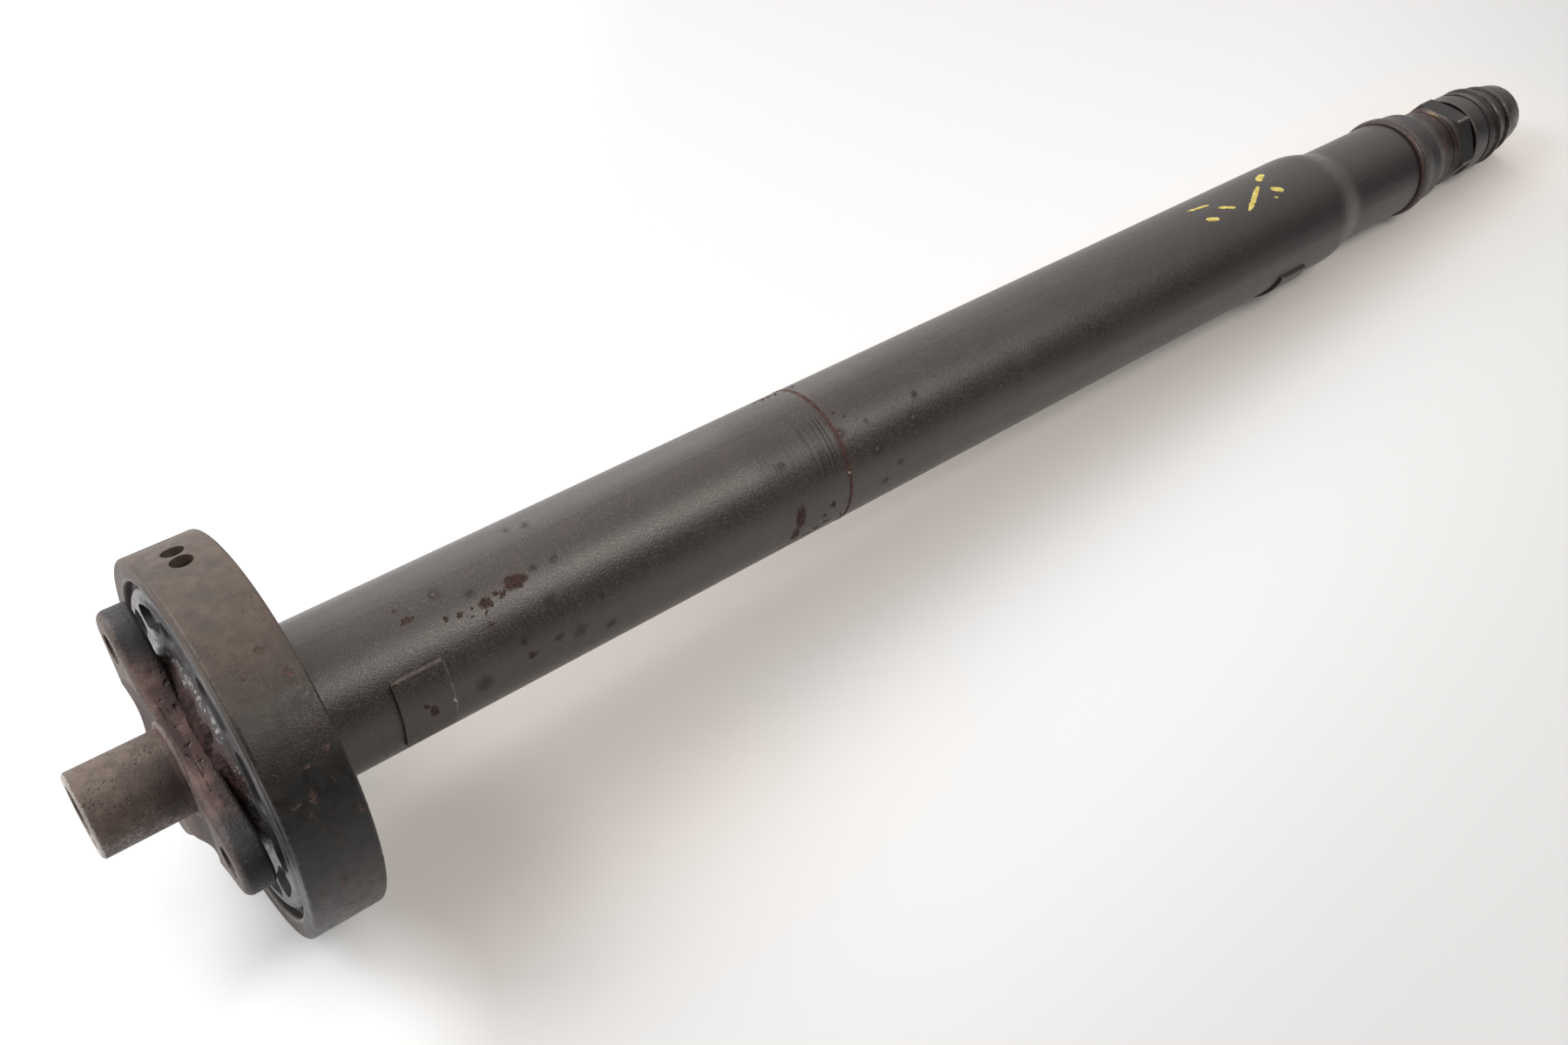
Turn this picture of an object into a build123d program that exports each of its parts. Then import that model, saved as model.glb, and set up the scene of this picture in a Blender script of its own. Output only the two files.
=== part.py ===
from build123d import *
import os
from math import cos, radians, sin, tan

# Front half of a two-piece car drive shaft, in millimetres.
# The shaft line is the X axis and runs rearwards, with +Z up.
# The origin is on the shaft line, in the mounting face of the three front bosses.
# Angles about the shaft are in degrees from straight up, turning from +Z towards -Y.

# Clearances
press_gap = 0.02
weld_gap = 0.05
thread_gap = 0.10
running_gap = 0.15
rubber_gap = 0.30
overcut = 1.0
edge_break = 0.5
small_chamfer = 1.0

# Front flange forging
boss_circle_dia = 100.0
boss_count = 3
boss_dia = 28.0
first_boss_angle = -34.2
bolt_hole_dia = 12.2
bolt_hole_chamfer = 1.0
flange_thickness = 11.0
waist_dia = 66.0
face_recess_dia = 76.0
face_recess_depth = 4.9
face_recess_bow = 0.62
collar_dia = 39.0
collar_setback = 1.8
snout_od = 34.0
snout_reach = 32.0
forging_round = 3.0
hub_seat_length = 19.0
damper_seat_dia = 66.0
spigot_length = 13.0
hub_wall = 7.5

# Centring bush in the snout
centring_bore_dia = 14.0
bush_wall = 1.6
bush_rubber_wall = 2.7
bush_shell_wall = 1.2
bush_length = 25.0
bush_inset = 2.5
bush_rubber_inset = 1.0
grease_gap = 8.0
grease_plug_wall = 1.2
grease_plug_depth = 4.0
lip_seal_thickness = 1.5

# Torsional vibration damper
ring_od = 155.0
ring_wall = 8.5
ring_width = 28.5
ring_setback = 15.2
ring_edge = 1.5
balance_hole_dia = 8.5
balance_hole_depth = 6.0
drill_point_angle = 118.0
balance_hole_angles = (-22.5, -15.2)
rubber_wall = 2.5
carrier_plate = 3.0
carrier_dish = 4.5
carrier_seat_length = 14.0
carrier_rim_inset = 3.0
carrier_foot_width = 8.0
carrier_bend = 4.0
carrier_foot_bend = 2.0
window_count = 12
window_arc = 15.0
window_share = 0.45
pin_hole_dia = 4.0
pin_hole_count = 3

# Tubes
tube_od = 65.0
tube_wall = 2.0
front_tube_length = 264.8
rear_tube_length = 455.2
neck_od = 56.0
neck_length = 63.0
swage_length = 18.5
swage_shoulder_radius = 50.0
swage_hollow_radius = 35.0
seam_width = 1.5
seam_sleeve_length = 60.0
seam_sleeve_wall = 2.5
weld_width = 3.0
weld_crown = 0.7

# Balance weights
weight_thickness = 1.6
weight_length = 22.0
weight_arc = 55.0
weight_corner = 1.0
front_weight_inset = 43.0
front_weight_angle = 79.2
rear_weight_inset = 33.0
rear_weight_angle = 130.2

# End sleeve behind the rear tube
rear_weld_width = 8.0
rear_weld_crown = 1.8
band_dia = 55.2
band_length = 15.5
band_foot_rise = 1.3
band_foot_length = 7.0
band_edge = 0.8
shoulder_dia = 46.8
shoulder_taper_length = 20.0
taper_run = 10.5
taper_drop = 3.1
taper_hollow_radius = 20.0
shoulder_length = 4.0
shoulder_step = 0.8
sleeve_spigot_length = 14.0
spigot_relief = 0.6
thread_dia = 40.0
thread_depth = 0.5
thread_length = 21.0
spline_count = 24
spline_minor_dia = 27.2
spline_depth = 1.3
spline_mouth_share = 0.68
spline_root_share = 0.40
spline_length = 44.0
core_plug_wall = 1.5
core_plug_depth = 6.0
core_plug_inset = 2.0

# Clamp nut
nut_gap = 1.5
nut_across_flats = 46.0
nut_hex_width = 16.0
nut_chamfer_angle = 30.0
nut_face_inset = 0.6
nut_groove_width = 2.0
nut_groove_depth = 1.0
nut_collar_dia = 48.6
nut_collar_width = 14.5
nut_collar_edge = 0.8
nut_lip_width = 2.5
nut_lip_step = 0.6
nut_mouth_chamfer = 2.0
nut_nose_dia = 43.0
nut_nose_length = 9.0
nut_bore_dia = 30.4
cone_angle = 22.0

# Clamping ring and seal inside the nut
clamp_ring_bore_dia = 30.0
clamp_ring_length = 9.0
clamp_ring_slot = 3.0
relief_slot = 1.4
relief_slot_count = 5
relief_slot_share = 0.65
seal_thickness = 4.0
seal_bore_dia = 30.1
seal_groove_dia = 37.0
seal_inset = 1.5

# Ribbed boot and its clip
boot_wall = 2.2
boot_length = 45.5
boot_seat_dia = 46.2
boot_rib_dias = (49.2, 44.4)
boot_rib_height = 1.3
boot_rib_width = 3.0
boot_rib_setback = 13.3
boot_rib_pitch = 14.2
boot_hollow = 0.35
boot_end_dia = 36.8
boot_mouth_dia = 30.4
boot_seat_margin = 2.0
clip_setback = 1.0
clip_width = 4.2
clip_thickness = 1.1
clip_groove_depth = 0.5
clip_groove_count = 3


# Radii that several pieces share
tube_bore_r = tube_od / 2 - tube_wall
neck_bore_r = neck_od / 2 - tube_wall
boss_circle_r = boss_circle_dia / 2
boss_r = boss_dia / 2
snout_bore_r = centring_bore_dia / 2 + bush_wall + bush_rubber_wall + bush_shell_wall
ring_bore_r = ring_od / 2 - ring_wall
rubber_r = ring_bore_r - rubber_gap
rim_r = rubber_r - rubber_wall
carrier_seat_r = damper_seat_dia / 2 + press_gap
carrier_collar_r = carrier_seat_r + carrier_plate
carrier_flat_r = carrier_collar_r + carrier_foot_width
window_r = (carrier_flat_r + rim_r) / 2
window_height = window_share * (rim_r - carrier_flat_r)
spline_minor_r = spline_minor_dia / 2
spline_major_r = spline_minor_r + spline_depth
spline_clear_r = spline_major_r + spigot_relief
thread_bore_r = thread_dia / 2 + thread_gap
shoulder_r = shoulder_dia / 2

# Stations along the shaft
hub_end = flange_thickness + hub_seat_length
tube_start = hub_end + weld_width
seam_start = tube_start + front_tube_length
seam_end = seam_start + seam_width
rear_tube_end = seam_end + rear_tube_length
neck_start = rear_tube_end - neck_length
swage_start = neck_start - swage_length
band_start = rear_tube_end + rear_weld_width
band_end = band_start + band_length
shoulder_start = band_end + shoulder_taper_length
thread_start = shoulder_start + shoulder_length
sleeve_end = thread_start + thread_length
nut_start = thread_start + nut_gap
hex_end = nut_start + nut_hex_width
collar_start = hex_end + nut_groove_width
collar_end = collar_start + nut_collar_width
nose_end = collar_end + nut_nose_length
bush_start = bush_inset - snout_reach
bush_end = bush_start + bush_length
snout_bore_end = bush_end + grease_gap
cone_start = sleeve_end + running_gap
boot_end = collar_end + boot_length
ring_end = ring_setback + ring_width
carrier_end = ring_end - carrier_rim_inset
spline_start = sleeve_end - spline_length
sleeve_spigot_start = rear_tube_end - sleeve_spigot_length


def turned(points):
    """Solid turned about the shaft line from (x, radius) points."""
    outline = Polyline(*[(x, 0, r) for x, r in points], close=True)
    return revolve(make_face(outline), Axis.X)


def turned_round(points, radii):
    """Solid turned from (x, radius) points, with one rounding for each corner."""
    outline = FilletPolyline(*[(x, 0, r) for x, r in points], radius=radii, close=True)
    return revolve(make_face(outline), Axis.X)


def ring_between(x0, x1, inner_r, outer_r):
    """Plain ring from x0 to x1."""
    return turned([(x0, inner_r), (x1, inner_r), (x1, outer_r), (x0, outer_r)])


def turn_to(angle, shape):
    """Turn a shape that is drawn at the top of the shaft to an angle about it."""
    return Rot(angle, 0, 0) * shape


def polar(radius, angle):
    """Point in the flange plane at a radius and an angle from straight up."""
    return (0, -radius * sin(radians(angle)), radius * cos(radians(angle)))


def flange_outline():
    """Outline of the three arms: round boss ends joined by wide hollow arcs."""
    half_pitch = 180 / boss_count
    waist_r = waist_dia / 2
    # The hollow circle touches both bosses and comes as near as the waist.
    along = boss_circle_r * cos(radians(half_pitch))
    across = boss_circle_r * sin(radians(half_pitch))
    near = waist_r - along
    hollow_r = (near**2 + across**2 - boss_r**2) / (2 * (boss_r - near))
    reach = waist_r + hollow_r
    edges = []
    for k in range(boss_count):
        middle = first_boss_angle + 2 * half_pitch * k
        hollow = Vector(*polar(reach, middle + half_pitch))
        before = Vector(*polar(reach, middle - half_pitch))
        boss = Vector(*polar(boss_circle_r, middle))
        following = Vector(*polar(boss_circle_r, middle + 2 * half_pitch))
        leave = boss + (hollow - boss).normalized() * boss_r
        enter = boss + (before - boss).normalized() * boss_r
        arrive = following + (hollow - following).normalized() * boss_r
        tip = Vector(*polar(boss_circle_r + boss_r, middle))
        waist = Vector(*polar(waist_r, middle + half_pitch))
        edges.append(ThreePointArc(enter, tip, leave))
        edges.append(ThreePointArc(leave, waist, arrive))
    return make_face(edges)


def front_flange():
    """Forging with three bolt bosses, a snout in front and a hub behind."""
    arms = extrude(flange_outline(), flange_thickness, dir=(1, 0, 0))
    arms = fillet(arms.edges().sort_by(Axis.X)[: 2 * boss_count], forging_round)
    arms = fillet(arms.edges().sort_by(Axis.X)[-2 * boss_count:], forging_round / 2)
    collar_r = collar_dia / 2
    recess_r = face_recess_dia / 2
    floor_r = collar_r + face_recess_depth / 2
    rise = ThreePointArc(
        (face_recess_depth, 0, floor_r),
        (face_recess_bow * face_recess_depth, 0, (floor_r + recess_r) / 2),
        (0, 0, recess_r),
    )
    recess_points = [
        (0, 0, recess_r),
        (-overcut, 0, recess_r),
        (-overcut, 0, 0),
        (collar_setback, 0, 0),
        (collar_setback, 0, collar_r - small_chamfer),
        (collar_setback + small_chamfer, 0, collar_r),
        (face_recess_depth, 0, collar_r),
        (face_recess_depth, 0, floor_r),
    ]
    recess = revolve(make_face([rise, Polyline(*recess_points)]), Axis.X)
    snout_r = snout_od / 2
    snout = turned([
        (-snout_reach, 0),
        (-snout_reach, snout_r - small_chamfer),
        (small_chamfer - snout_reach, snout_r),
        (collar_setback + overcut, snout_r),
        (collar_setback + overcut, 0),
    ])
    seat_r = damper_seat_dia / 2
    spigot_r = tube_bore_r - press_gap
    hub = turned([
        (flange_thickness - overcut, 0),
        (flange_thickness - overcut, seat_r - overcut),
        (flange_thickness, seat_r - overcut),
        (flange_thickness, seat_r),
        (hub_end, seat_r),
        (hub_end, spigot_r),
        (hub_end + spigot_length, spigot_r),
        (hub_end + spigot_length, 0),
    ])
    bore = turned([
        (-snout_reach - overcut, 0),
        (-snout_reach - overcut, snout_bore_r),
        (snout_bore_end, snout_bore_r),
        (snout_bore_end, 0),
    ])
    hub_bore_r = spigot_r - hub_wall
    hub_bore = turned([
        (flange_thickness + hub_wall, 0),
        (flange_thickness + hub_wall, hub_bore_r - hub_wall),
        (flange_thickness + 2 * hub_wall, hub_bore_r),
        (hub_end + spigot_length + overcut, hub_bore_r),
        (hub_end + spigot_length + overcut, 0),
    ])
    body = arms - recess + snout + hub - bore - hub_bore
    hole_r = bolt_hole_dia / 2
    drill = turned([
        (-overcut, 0),
        (-overcut, hole_r),
        (flange_thickness - bolt_hole_chamfer, hole_r),
        (flange_thickness + overcut, hole_r + bolt_hole_chamfer + overcut),
        (flange_thickness + overcut, 0),
    ])
    for k in range(boss_count):
        angle = first_boss_angle + 360 * k / boss_count
        body -= turn_to(angle, Pos(0, 0, boss_circle_r) * drill)
    return body


def centring_shell():
    """Steel outer shell of the centring bush, pressed into the snout."""
    outer_r = snout_bore_r - press_gap
    return ring_between(bush_start, bush_end, snout_bore_r - bush_shell_wall, outer_r)


def centring_rubber():
    """Rubber layer between the shell and the liner of the centring bush."""
    outer_r = snout_bore_r - bush_shell_wall - press_gap
    inner_r = centring_bore_dia / 2 + bush_wall
    start = bush_start + bush_rubber_inset
    return ring_between(start, bush_end - bush_rubber_inset, inner_r, outer_r)


def centring_liner():
    """Bearing liner that holds the gearbox's centring pin, with a flared mouth."""
    bore_r = centring_bore_dia / 2
    outer_r = bore_r + bush_wall - press_gap
    flare = bush_wall / 2
    return turned([
        (bush_start, bore_r + flare),
        (bush_start + 2 * flare, bore_r),
        (bush_end, bore_r),
        (bush_end, outer_r),
        (bush_start, outer_r),
    ])


def centring_seal():
    """Thin lip seal at the mouth of the snout."""
    front = bush_start - lip_seal_thickness - press_gap
    lip_r = centring_bore_dia / 2 + bush_wall / 2
    outer_r = snout_bore_r - press_gap
    return turned([
        (front, outer_r),
        (bush_start - press_gap, outer_r),
        (bush_start - press_gap, outer_r - lip_seal_thickness),
        (bush_start - lip_seal_thickness / 2, lip_r),
        (front, lip_r),
    ])


def grease_plug():
    """Pressed cup that closes the snout behind the centring bush."""
    end = snout_bore_end - press_gap
    start = end - grease_plug_depth
    outer_r = snout_bore_r - press_gap
    inner_r = outer_r - grease_plug_wall
    return turned([
        (start, inner_r),
        (start, outer_r),
        (end, outer_r),
        (end, 0),
        (end - grease_plug_wall, 0),
        (end - grease_plug_wall, inner_r),
    ])


def window_cut(angle):
    """One arc window with round ends through the carrier plate."""
    half = window_arc / 2
    arc = ThreePointArc(
        polar(window_r, angle - half),
        polar(window_r, angle),
        polar(window_r, angle + half),
    )
    slot = Plane.YZ * SlotArc(Plane.YZ.to_local_coords(arc), window_height)
    return extrude(slot, carrier_end, dir=(1, 0, 0))


def damper_carrier():
    """Pressed steel pan that carries the damper ring on the flange's hub."""
    front = flange_thickness + press_gap
    face = front + carrier_dish
    inner_rim_r = rim_r - carrier_plate
    inner_bend = carrier_bend - carrier_plate
    points = [
        (front, carrier_seat_r),
        (front, carrier_collar_r + inner_bend),
        (face, carrier_flat_r),
        (face, rim_r),
        (carrier_end, rim_r),
        (carrier_end, inner_rim_r),
        (face + carrier_plate, inner_rim_r),
        (face + carrier_plate, carrier_flat_r),
        (front + carrier_plate, carrier_collar_r),
        (front + carrier_seat_length, carrier_collar_r),
        (front + carrier_seat_length, carrier_seat_r),
    ]
    tight = edge_break / 2
    radii = [tight, inner_bend, carrier_foot_bend, carrier_bend, edge_break, edge_break]
    radii += [inner_bend, inner_bend, tight, edge_break, edge_break]
    pan = turned_round(points, radii)
    for k in range(window_count):
        pan -= window_cut(first_boss_angle + 360 * k / window_count)
    pin = Pos(0, 0, window_r) * (Rot(0, 90, 0) * Cylinder(pin_hole_dia / 2, 2 * carrier_end))
    half_window = 180 / window_count
    for k in range(pin_hole_count):
        pan -= turn_to(first_boss_angle + half_window + 360 * k / pin_hole_count, pin)
    return pan


def damper_rubber():
    """Rubber ring between the carrier's rim and the damper ring."""
    start = ring_setback + carrier_rim_inset
    return ring_between(start, carrier_end - edge_break, rim_r + press_gap, rubber_r)


def damper_ring():
    """Heavy steel ring with two radial balance drillings side by side."""
    outer_r = ring_od / 2
    points = [
        (ring_setback, ring_bore_r),
        (ring_setback, outer_r),
        (ring_end, outer_r),
        (ring_end, ring_bore_r),
    ]
    ring = turned_round(points, [ring_edge / 2, ring_edge, ring_edge, ring_edge / 2])
    hole_r = balance_hole_dia / 2
    middle = (ring_setback + ring_end) / 2
    tip = hole_r / tan(radians(drill_point_angle / 2))
    floor_r = outer_r - balance_hole_depth
    shank = Pos(middle, 0, floor_r + ring_wall / 2) * Cylinder(hole_r, ring_wall)
    cone = Pos(middle, 0, floor_r - tip / 2) * Cone(0, hole_r, tip)
    for angle in balance_hole_angles:
        ring -= turn_to(angle, shank)
        ring -= turn_to(angle, cone)
    return ring


def weld_ring(x0, x1, inner_r, outer_r):
    """Weld between two tube ends, with a low round crown."""
    middle = (x0 + x1) / 2
    crown = ThreePointArc((x0, 0, outer_r), (middle, 0, outer_r + weld_crown), (x1, 0, outer_r))
    foot = Polyline((x1, 0, outer_r), (x1, 0, inner_r), (x0, 0, inner_r), (x0, 0, outer_r))
    return revolve(make_face([crown, foot]), Axis.X)


def front_weld():
    """Weld between the flange's hub and the front tube."""
    inner_r = tube_bore_r
    return weld_ring(hub_end + press_gap, tube_start - press_gap, inner_r, tube_od / 2)


def front_tube():
    """Plain drawn tube from the flange to the seam."""
    return ring_between(tube_start, seam_start, tube_bore_r, tube_od / 2)


def seam_sleeve():
    """Inner sleeve that joins the two tubes at the seam."""
    middle = (seam_start + seam_end) / 2
    half = seam_sleeve_length / 2
    outer_r = tube_bore_r - press_gap
    return ring_between(middle - half, middle + half, outer_r - seam_sleeve_wall, outer_r)


def seam_weld():
    """Flat weld that fills the seam between the two tubes."""
    start = seam_start + press_gap
    end = seam_end - press_gap
    return ring_between(start, end, tube_bore_r, tube_od / 2 + weld_gap)


def rear_tube():
    """Tube drawn down to a narrower neck at its rear end."""
    outer_r = tube_od / 2
    neck_r = neck_od / 2
    points = [
        (seam_end, tube_bore_r),
        (seam_end, outer_r),
        (swage_start, outer_r),
        (neck_start, neck_r),
        (rear_tube_end, neck_r),
        (rear_tube_end, neck_bore_r),
        (neck_start, neck_bore_r),
        (swage_start, tube_bore_r),
    ]
    outside_rounds = [swage_shoulder_radius, swage_hollow_radius]
    inside_rounds = [swage_hollow_radius + tube_wall, swage_shoulder_radius - tube_wall]
    return turned_round(points, [0, 0, *outside_rounds, 0, 0, *inside_rounds])


def balance_weight(start, angle):
    """Curved steel plate that is spot-welded to a tube."""
    inner_r = tube_od / 2 + weld_gap
    outer_r = inner_r + weight_thickness
    shell = ring_between(start, start + weight_length, inner_r, outer_r)
    half_width = outer_r * sin(radians(weight_arc / 2))
    middle = start + weight_length / 2
    keep = extrude(Pos(middle, 0, 0) * Rectangle(weight_length, 2 * half_width), outer_r + overcut)
    keep = fillet(keep.edges().filter_by(Axis.Z), weight_corner)
    return turn_to(angle, shell & keep)


def front_balance_weight():
    """Balance weight near the damper."""
    return balance_weight(tube_start + front_weight_inset, front_weight_angle)


def rear_balance_weight():
    """Balance weight in front of the swage."""
    start = swage_start - rear_weight_inset - weight_length
    return balance_weight(start, rear_weight_angle)


def rear_weld():
    """Twin-bead friction weld between the neck and the end sleeve."""
    start = rear_tube_end + press_gap
    end = band_start - press_gap
    middle = (start + end) / 2
    neck_r = neck_od / 2
    crown_r = neck_r + rear_weld_crown
    first = ThreePointArc((start, 0, neck_r), ((start + middle) / 2, 0, crown_r), (middle, 0, neck_r))
    second = ThreePointArc((middle, 0, neck_r), ((middle + end) / 2, 0, crown_r), (end, 0, neck_r))
    foot = Polyline((end, 0, neck_r), (end, 0, neck_bore_r), (start, 0, neck_bore_r), (start, 0, neck_r))
    return revolve(make_face([first, second, foot]), Axis.X)


def spline_groove():
    """One groove between two spline teeth, drawn at the top."""
    inner_r = spline_minor_r - edge_break
    pitch = 2 * spline_major_r * sin(radians(180 / spline_count))
    mouth = spline_mouth_share * pitch / 2
    root = spline_root_share * pitch / 2
    profile = Polyline(
        (0, -mouth, inner_r),
        (0, mouth, inner_r),
        (0, root, spline_major_r),
        (0, -root, spline_major_r),
        close=True,
    )
    length = spline_length + overcut
    return extrude(Pos(spline_start, 0, 0) * make_face(profile), length, dir=(1, 0, 0))


def end_sleeve():
    """Turned sleeve with a band, a taper, an outer thread and inner splines."""
    band_r = band_dia / 2
    spigot_r = neck_bore_r - press_gap
    core_r = thread_dia / 2 - thread_depth
    taper_start_r = band_r - band_edge
    taper_foot = (band_end + taper_run, taper_start_r - taper_drop)
    points = [
        (sleeve_spigot_start, spline_clear_r),
        (sleeve_spigot_start, spigot_r),
        (band_start, spigot_r),
        (band_start, band_r + band_foot_rise),
        (band_start + band_foot_length, band_r),
        (band_end - band_edge, band_r),
        (band_end, taper_start_r),
        taper_foot,
        (shoulder_start - shoulder_step, shoulder_r),
        (shoulder_start - shoulder_step, shoulder_r - shoulder_step),
        (shoulder_start, shoulder_r - shoulder_step),
        (shoulder_start, shoulder_r),
        (thread_start - edge_break, shoulder_r),
        (thread_start, shoulder_r - edge_break),
        (thread_start, core_r),
        (sleeve_end - small_chamfer, core_r),
        (sleeve_end, core_r - small_chamfer),
        (sleeve_end, spline_minor_r + small_chamfer),
        (sleeve_end - small_chamfer, spline_minor_r),
        (spline_start, spline_minor_r),
        (spline_start - small_chamfer, spline_clear_r),
    ]
    hollows = {taper_foot: taper_hollow_radius}
    body = turned_round(points, [hollows.get(point, 0) for point in points])
    groove = spline_groove()
    grooves = [turn_to(360 * k / spline_count, groove) for k in range(spline_count)]
    return body - grooves


def core_plug():
    """Pressed cup that keeps the spline's grease out of the tube."""
    start = sleeve_spigot_start + core_plug_inset
    outer_r = spline_clear_r - press_gap
    inner_r = outer_r - core_plug_wall
    return turned([
        (start, 0),
        (start, outer_r),
        (start + core_plug_depth, outer_r),
        (start + core_plug_depth, inner_r),
        (start + core_plug_wall, inner_r),
        (start + core_plug_wall, 0),
    ])


def cone_radius(x):
    """Radius of the nut's inner cone at a station."""
    return thread_bore_r - (x - cone_start) * tan(radians(cone_angle))


def clamping_ring():
    """Slotted cone ring that the nut squeezes onto the mating shaft."""
    start = cone_start
    end = start + clamp_ring_length
    slack = running_gap / cos(radians(cone_angle))
    bore_r = clamp_ring_bore_dia / 2
    ring = turned([
        (start, bore_r),
        (end, bore_r),
        (end, cone_radius(end) - slack),
        (start, cone_radius(start) - slack),
    ])
    reach = thread_bore_r + overcut
    gap = Pos((start + end) / 2, 0, reach / 2) * Box(2 * clamp_ring_length, clamp_ring_slot, reach)
    ring -= gap
    relief_length = 2 * relief_slot_share * clamp_ring_length
    relief = Pos(end, 0, reach / 2) * Box(relief_length, relief_slot, reach)
    pitch = 360 / (relief_slot_count + 1)
    for k in range(relief_slot_count):
        ring -= turn_to(pitch * (k + 1), relief)
    return ring


def clamp_nut():
    """Hexagon nut with a round collar and a nose for the boot."""
    sides = 6
    flat_r = nut_across_flats / 2
    corner_r = flat_r / cos(radians(180 / sides))
    face_r = flat_r - nut_face_inset
    chamfer = (corner_r - face_r) * tan(radians(nut_chamfer_angle))
    prism = Plane.YZ * RegularPolygon(flat_r, sides, major_radius=False)
    prism = extrude(Pos(nut_start, 0, 0) * prism, nut_hex_width, dir=(1, 0, 0))
    trim = turned([
        (nut_start, 0),
        (nut_start, face_r),
        (nut_start + chamfer, corner_r),
        (hex_end - chamfer, corner_r),
        (hex_end, face_r),
        (hex_end, 0),
    ])
    groove_r = flat_r - nut_groove_depth
    collar_r = nut_collar_dia / 2
    nose_r = nut_nose_dia / 2
    rear = turned([
        (hex_end - overcut, 0),
        (hex_end - overcut, groove_r),
        (collar_start, groove_r),
        (collar_start, collar_r - nut_collar_edge),
        (collar_start + nut_collar_edge, collar_r),
        (collar_end - nut_lip_width, collar_r),
        (collar_end - nut_lip_width, collar_r - nut_lip_step),
        (collar_end, collar_r - nut_lip_step),
        (collar_end, nose_r),
        (nose_end - small_chamfer, nose_r),
        (nose_end, nose_r - small_chamfer),
        (nose_end, 0),
    ])
    bore_r = nut_bore_dia / 2
    seal_end = nose_end - seal_inset
    seal_start = seal_end - seal_thickness - 2 * press_gap
    cone_end = cone_start + (thread_bore_r - bore_r) / tan(radians(cone_angle))
    hole = turned([
        (nut_start - overcut, 0),
        (nut_start - overcut, thread_bore_r + nut_mouth_chamfer),
        (nut_start + nut_mouth_chamfer - overcut, thread_bore_r),
        (cone_start, thread_bore_r),
        (cone_end, bore_r),
        (seal_start, bore_r),
        (seal_start, seal_groove_dia / 2),
        (seal_end, seal_groove_dia / 2),
        (seal_end, bore_r),
        (nose_end + overcut, bore_r),
        (nose_end + overcut, 0),
    ])
    return (prism & trim) + rear - hole


def seal_ring():
    """Felt seal in the groove near the nut's mouth."""
    end = nose_end - seal_inset - press_gap
    outer_r = seal_groove_dia / 2 - press_gap
    return ring_between(end - seal_thickness, end, seal_bore_dia / 2, outer_r)


def boot():
    """Ribbed rubber boot on the nut's nose, narrowing past two raised ribs to its mouth."""
    seat_r = nut_nose_dia / 2 + press_gap
    start = collar_end + press_gap
    flat = start + clip_width + boot_seat_margin
    flat_r = boot_seat_dia / 2
    inside_end = nose_end + small_chamfer
    here = Vector(flat, 0, flat_r)
    edges = [Polyline((start, 0, seat_r), (start, 0, flat_r), here)]
    for k, rib_dia in enumerate(boot_rib_dias):
        crest = Vector(collar_end + boot_rib_setback + k * boot_rib_pitch, 0, rib_dia / 2)
        half = Vector(boot_rib_width / 2, 0, 0)
        foot = crest - Vector(0, 0, boot_rib_height)
        valley = (here + foot - half) / 2 - Vector(0, 0, boot_hollow)
        edges.append(ThreePointArc(here, valley, foot - half))
        edges.append(ThreePointArc(foot - half, crest, foot + half))
        here = foot + half
    rim = Vector(boot_end, 0, boot_end_dia / 2)
    edges.append(ThreePointArc(here, (here + rim) / 2 + Vector(0, 0, boot_hollow), rim))
    mouth_r = boot_mouth_dia / 2
    inner_r = boot_end_dia / 2 - boot_wall
    edges.append(Polyline(
        rim,
        (boot_end, 0, mouth_r),
        (boot_end - boot_wall, 0, mouth_r),
        (boot_end - boot_wall, 0, inner_r),
        (inside_end, 0, seat_r),
        (start, 0, seat_r),
    ))
    return revolve(make_face(edges), Axis.X)


def boot_clip():
    """Grooved steel band that holds the boot on the nut."""
    start = collar_end + clip_setback
    inner_r = boot_seat_dia / 2 + press_gap
    outer_r = inner_r + clip_thickness
    groove = clip_width / (2 * clip_groove_count + 1)
    points = [(start, inner_r), (start, outer_r)]
    for k in range(clip_groove_count):
        left = start + (2 * k + 1) * groove
        points.append((left, outer_r))
        points.append((left + groove / 2, outer_r - clip_groove_depth))
        points.append((left + groove, outer_r))
    points.append((start + clip_width, outer_r))
    points.append((start + clip_width, inner_r))
    return turned(points)


pieces = {
    "front_flange": front_flange,
    "centring_shell": centring_shell,
    "centring_rubber": centring_rubber,
    "centring_liner": centring_liner,
    "centring_seal": centring_seal,
    "grease_plug": grease_plug,
    "damper_carrier": damper_carrier,
    "damper_rubber": damper_rubber,
    "damper_ring": damper_ring,
    "front_weld": front_weld,
    "front_tube": front_tube,
    "front_balance_weight": front_balance_weight,
    "seam_sleeve": seam_sleeve,
    "seam_weld": seam_weld,
    "rear_tube": rear_tube,
    "rear_balance_weight": rear_balance_weight,
    "rear_weld": rear_weld,
    "end_sleeve": end_sleeve,
    "core_plug": core_plug,
    "clamping_ring": clamping_ring,
    "clamp_nut": clamp_nut,
    "seal_ring": seal_ring,
    "boot": boot,
    "boot_clip": boot_clip,
}

os.makedirs("parts", exist_ok=True)
for name, make in pieces.items():
    export_step(make(), f"parts/{name}.step")
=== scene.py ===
import math

import bpy
from mathutils import Matrix, Vector, noise


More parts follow.
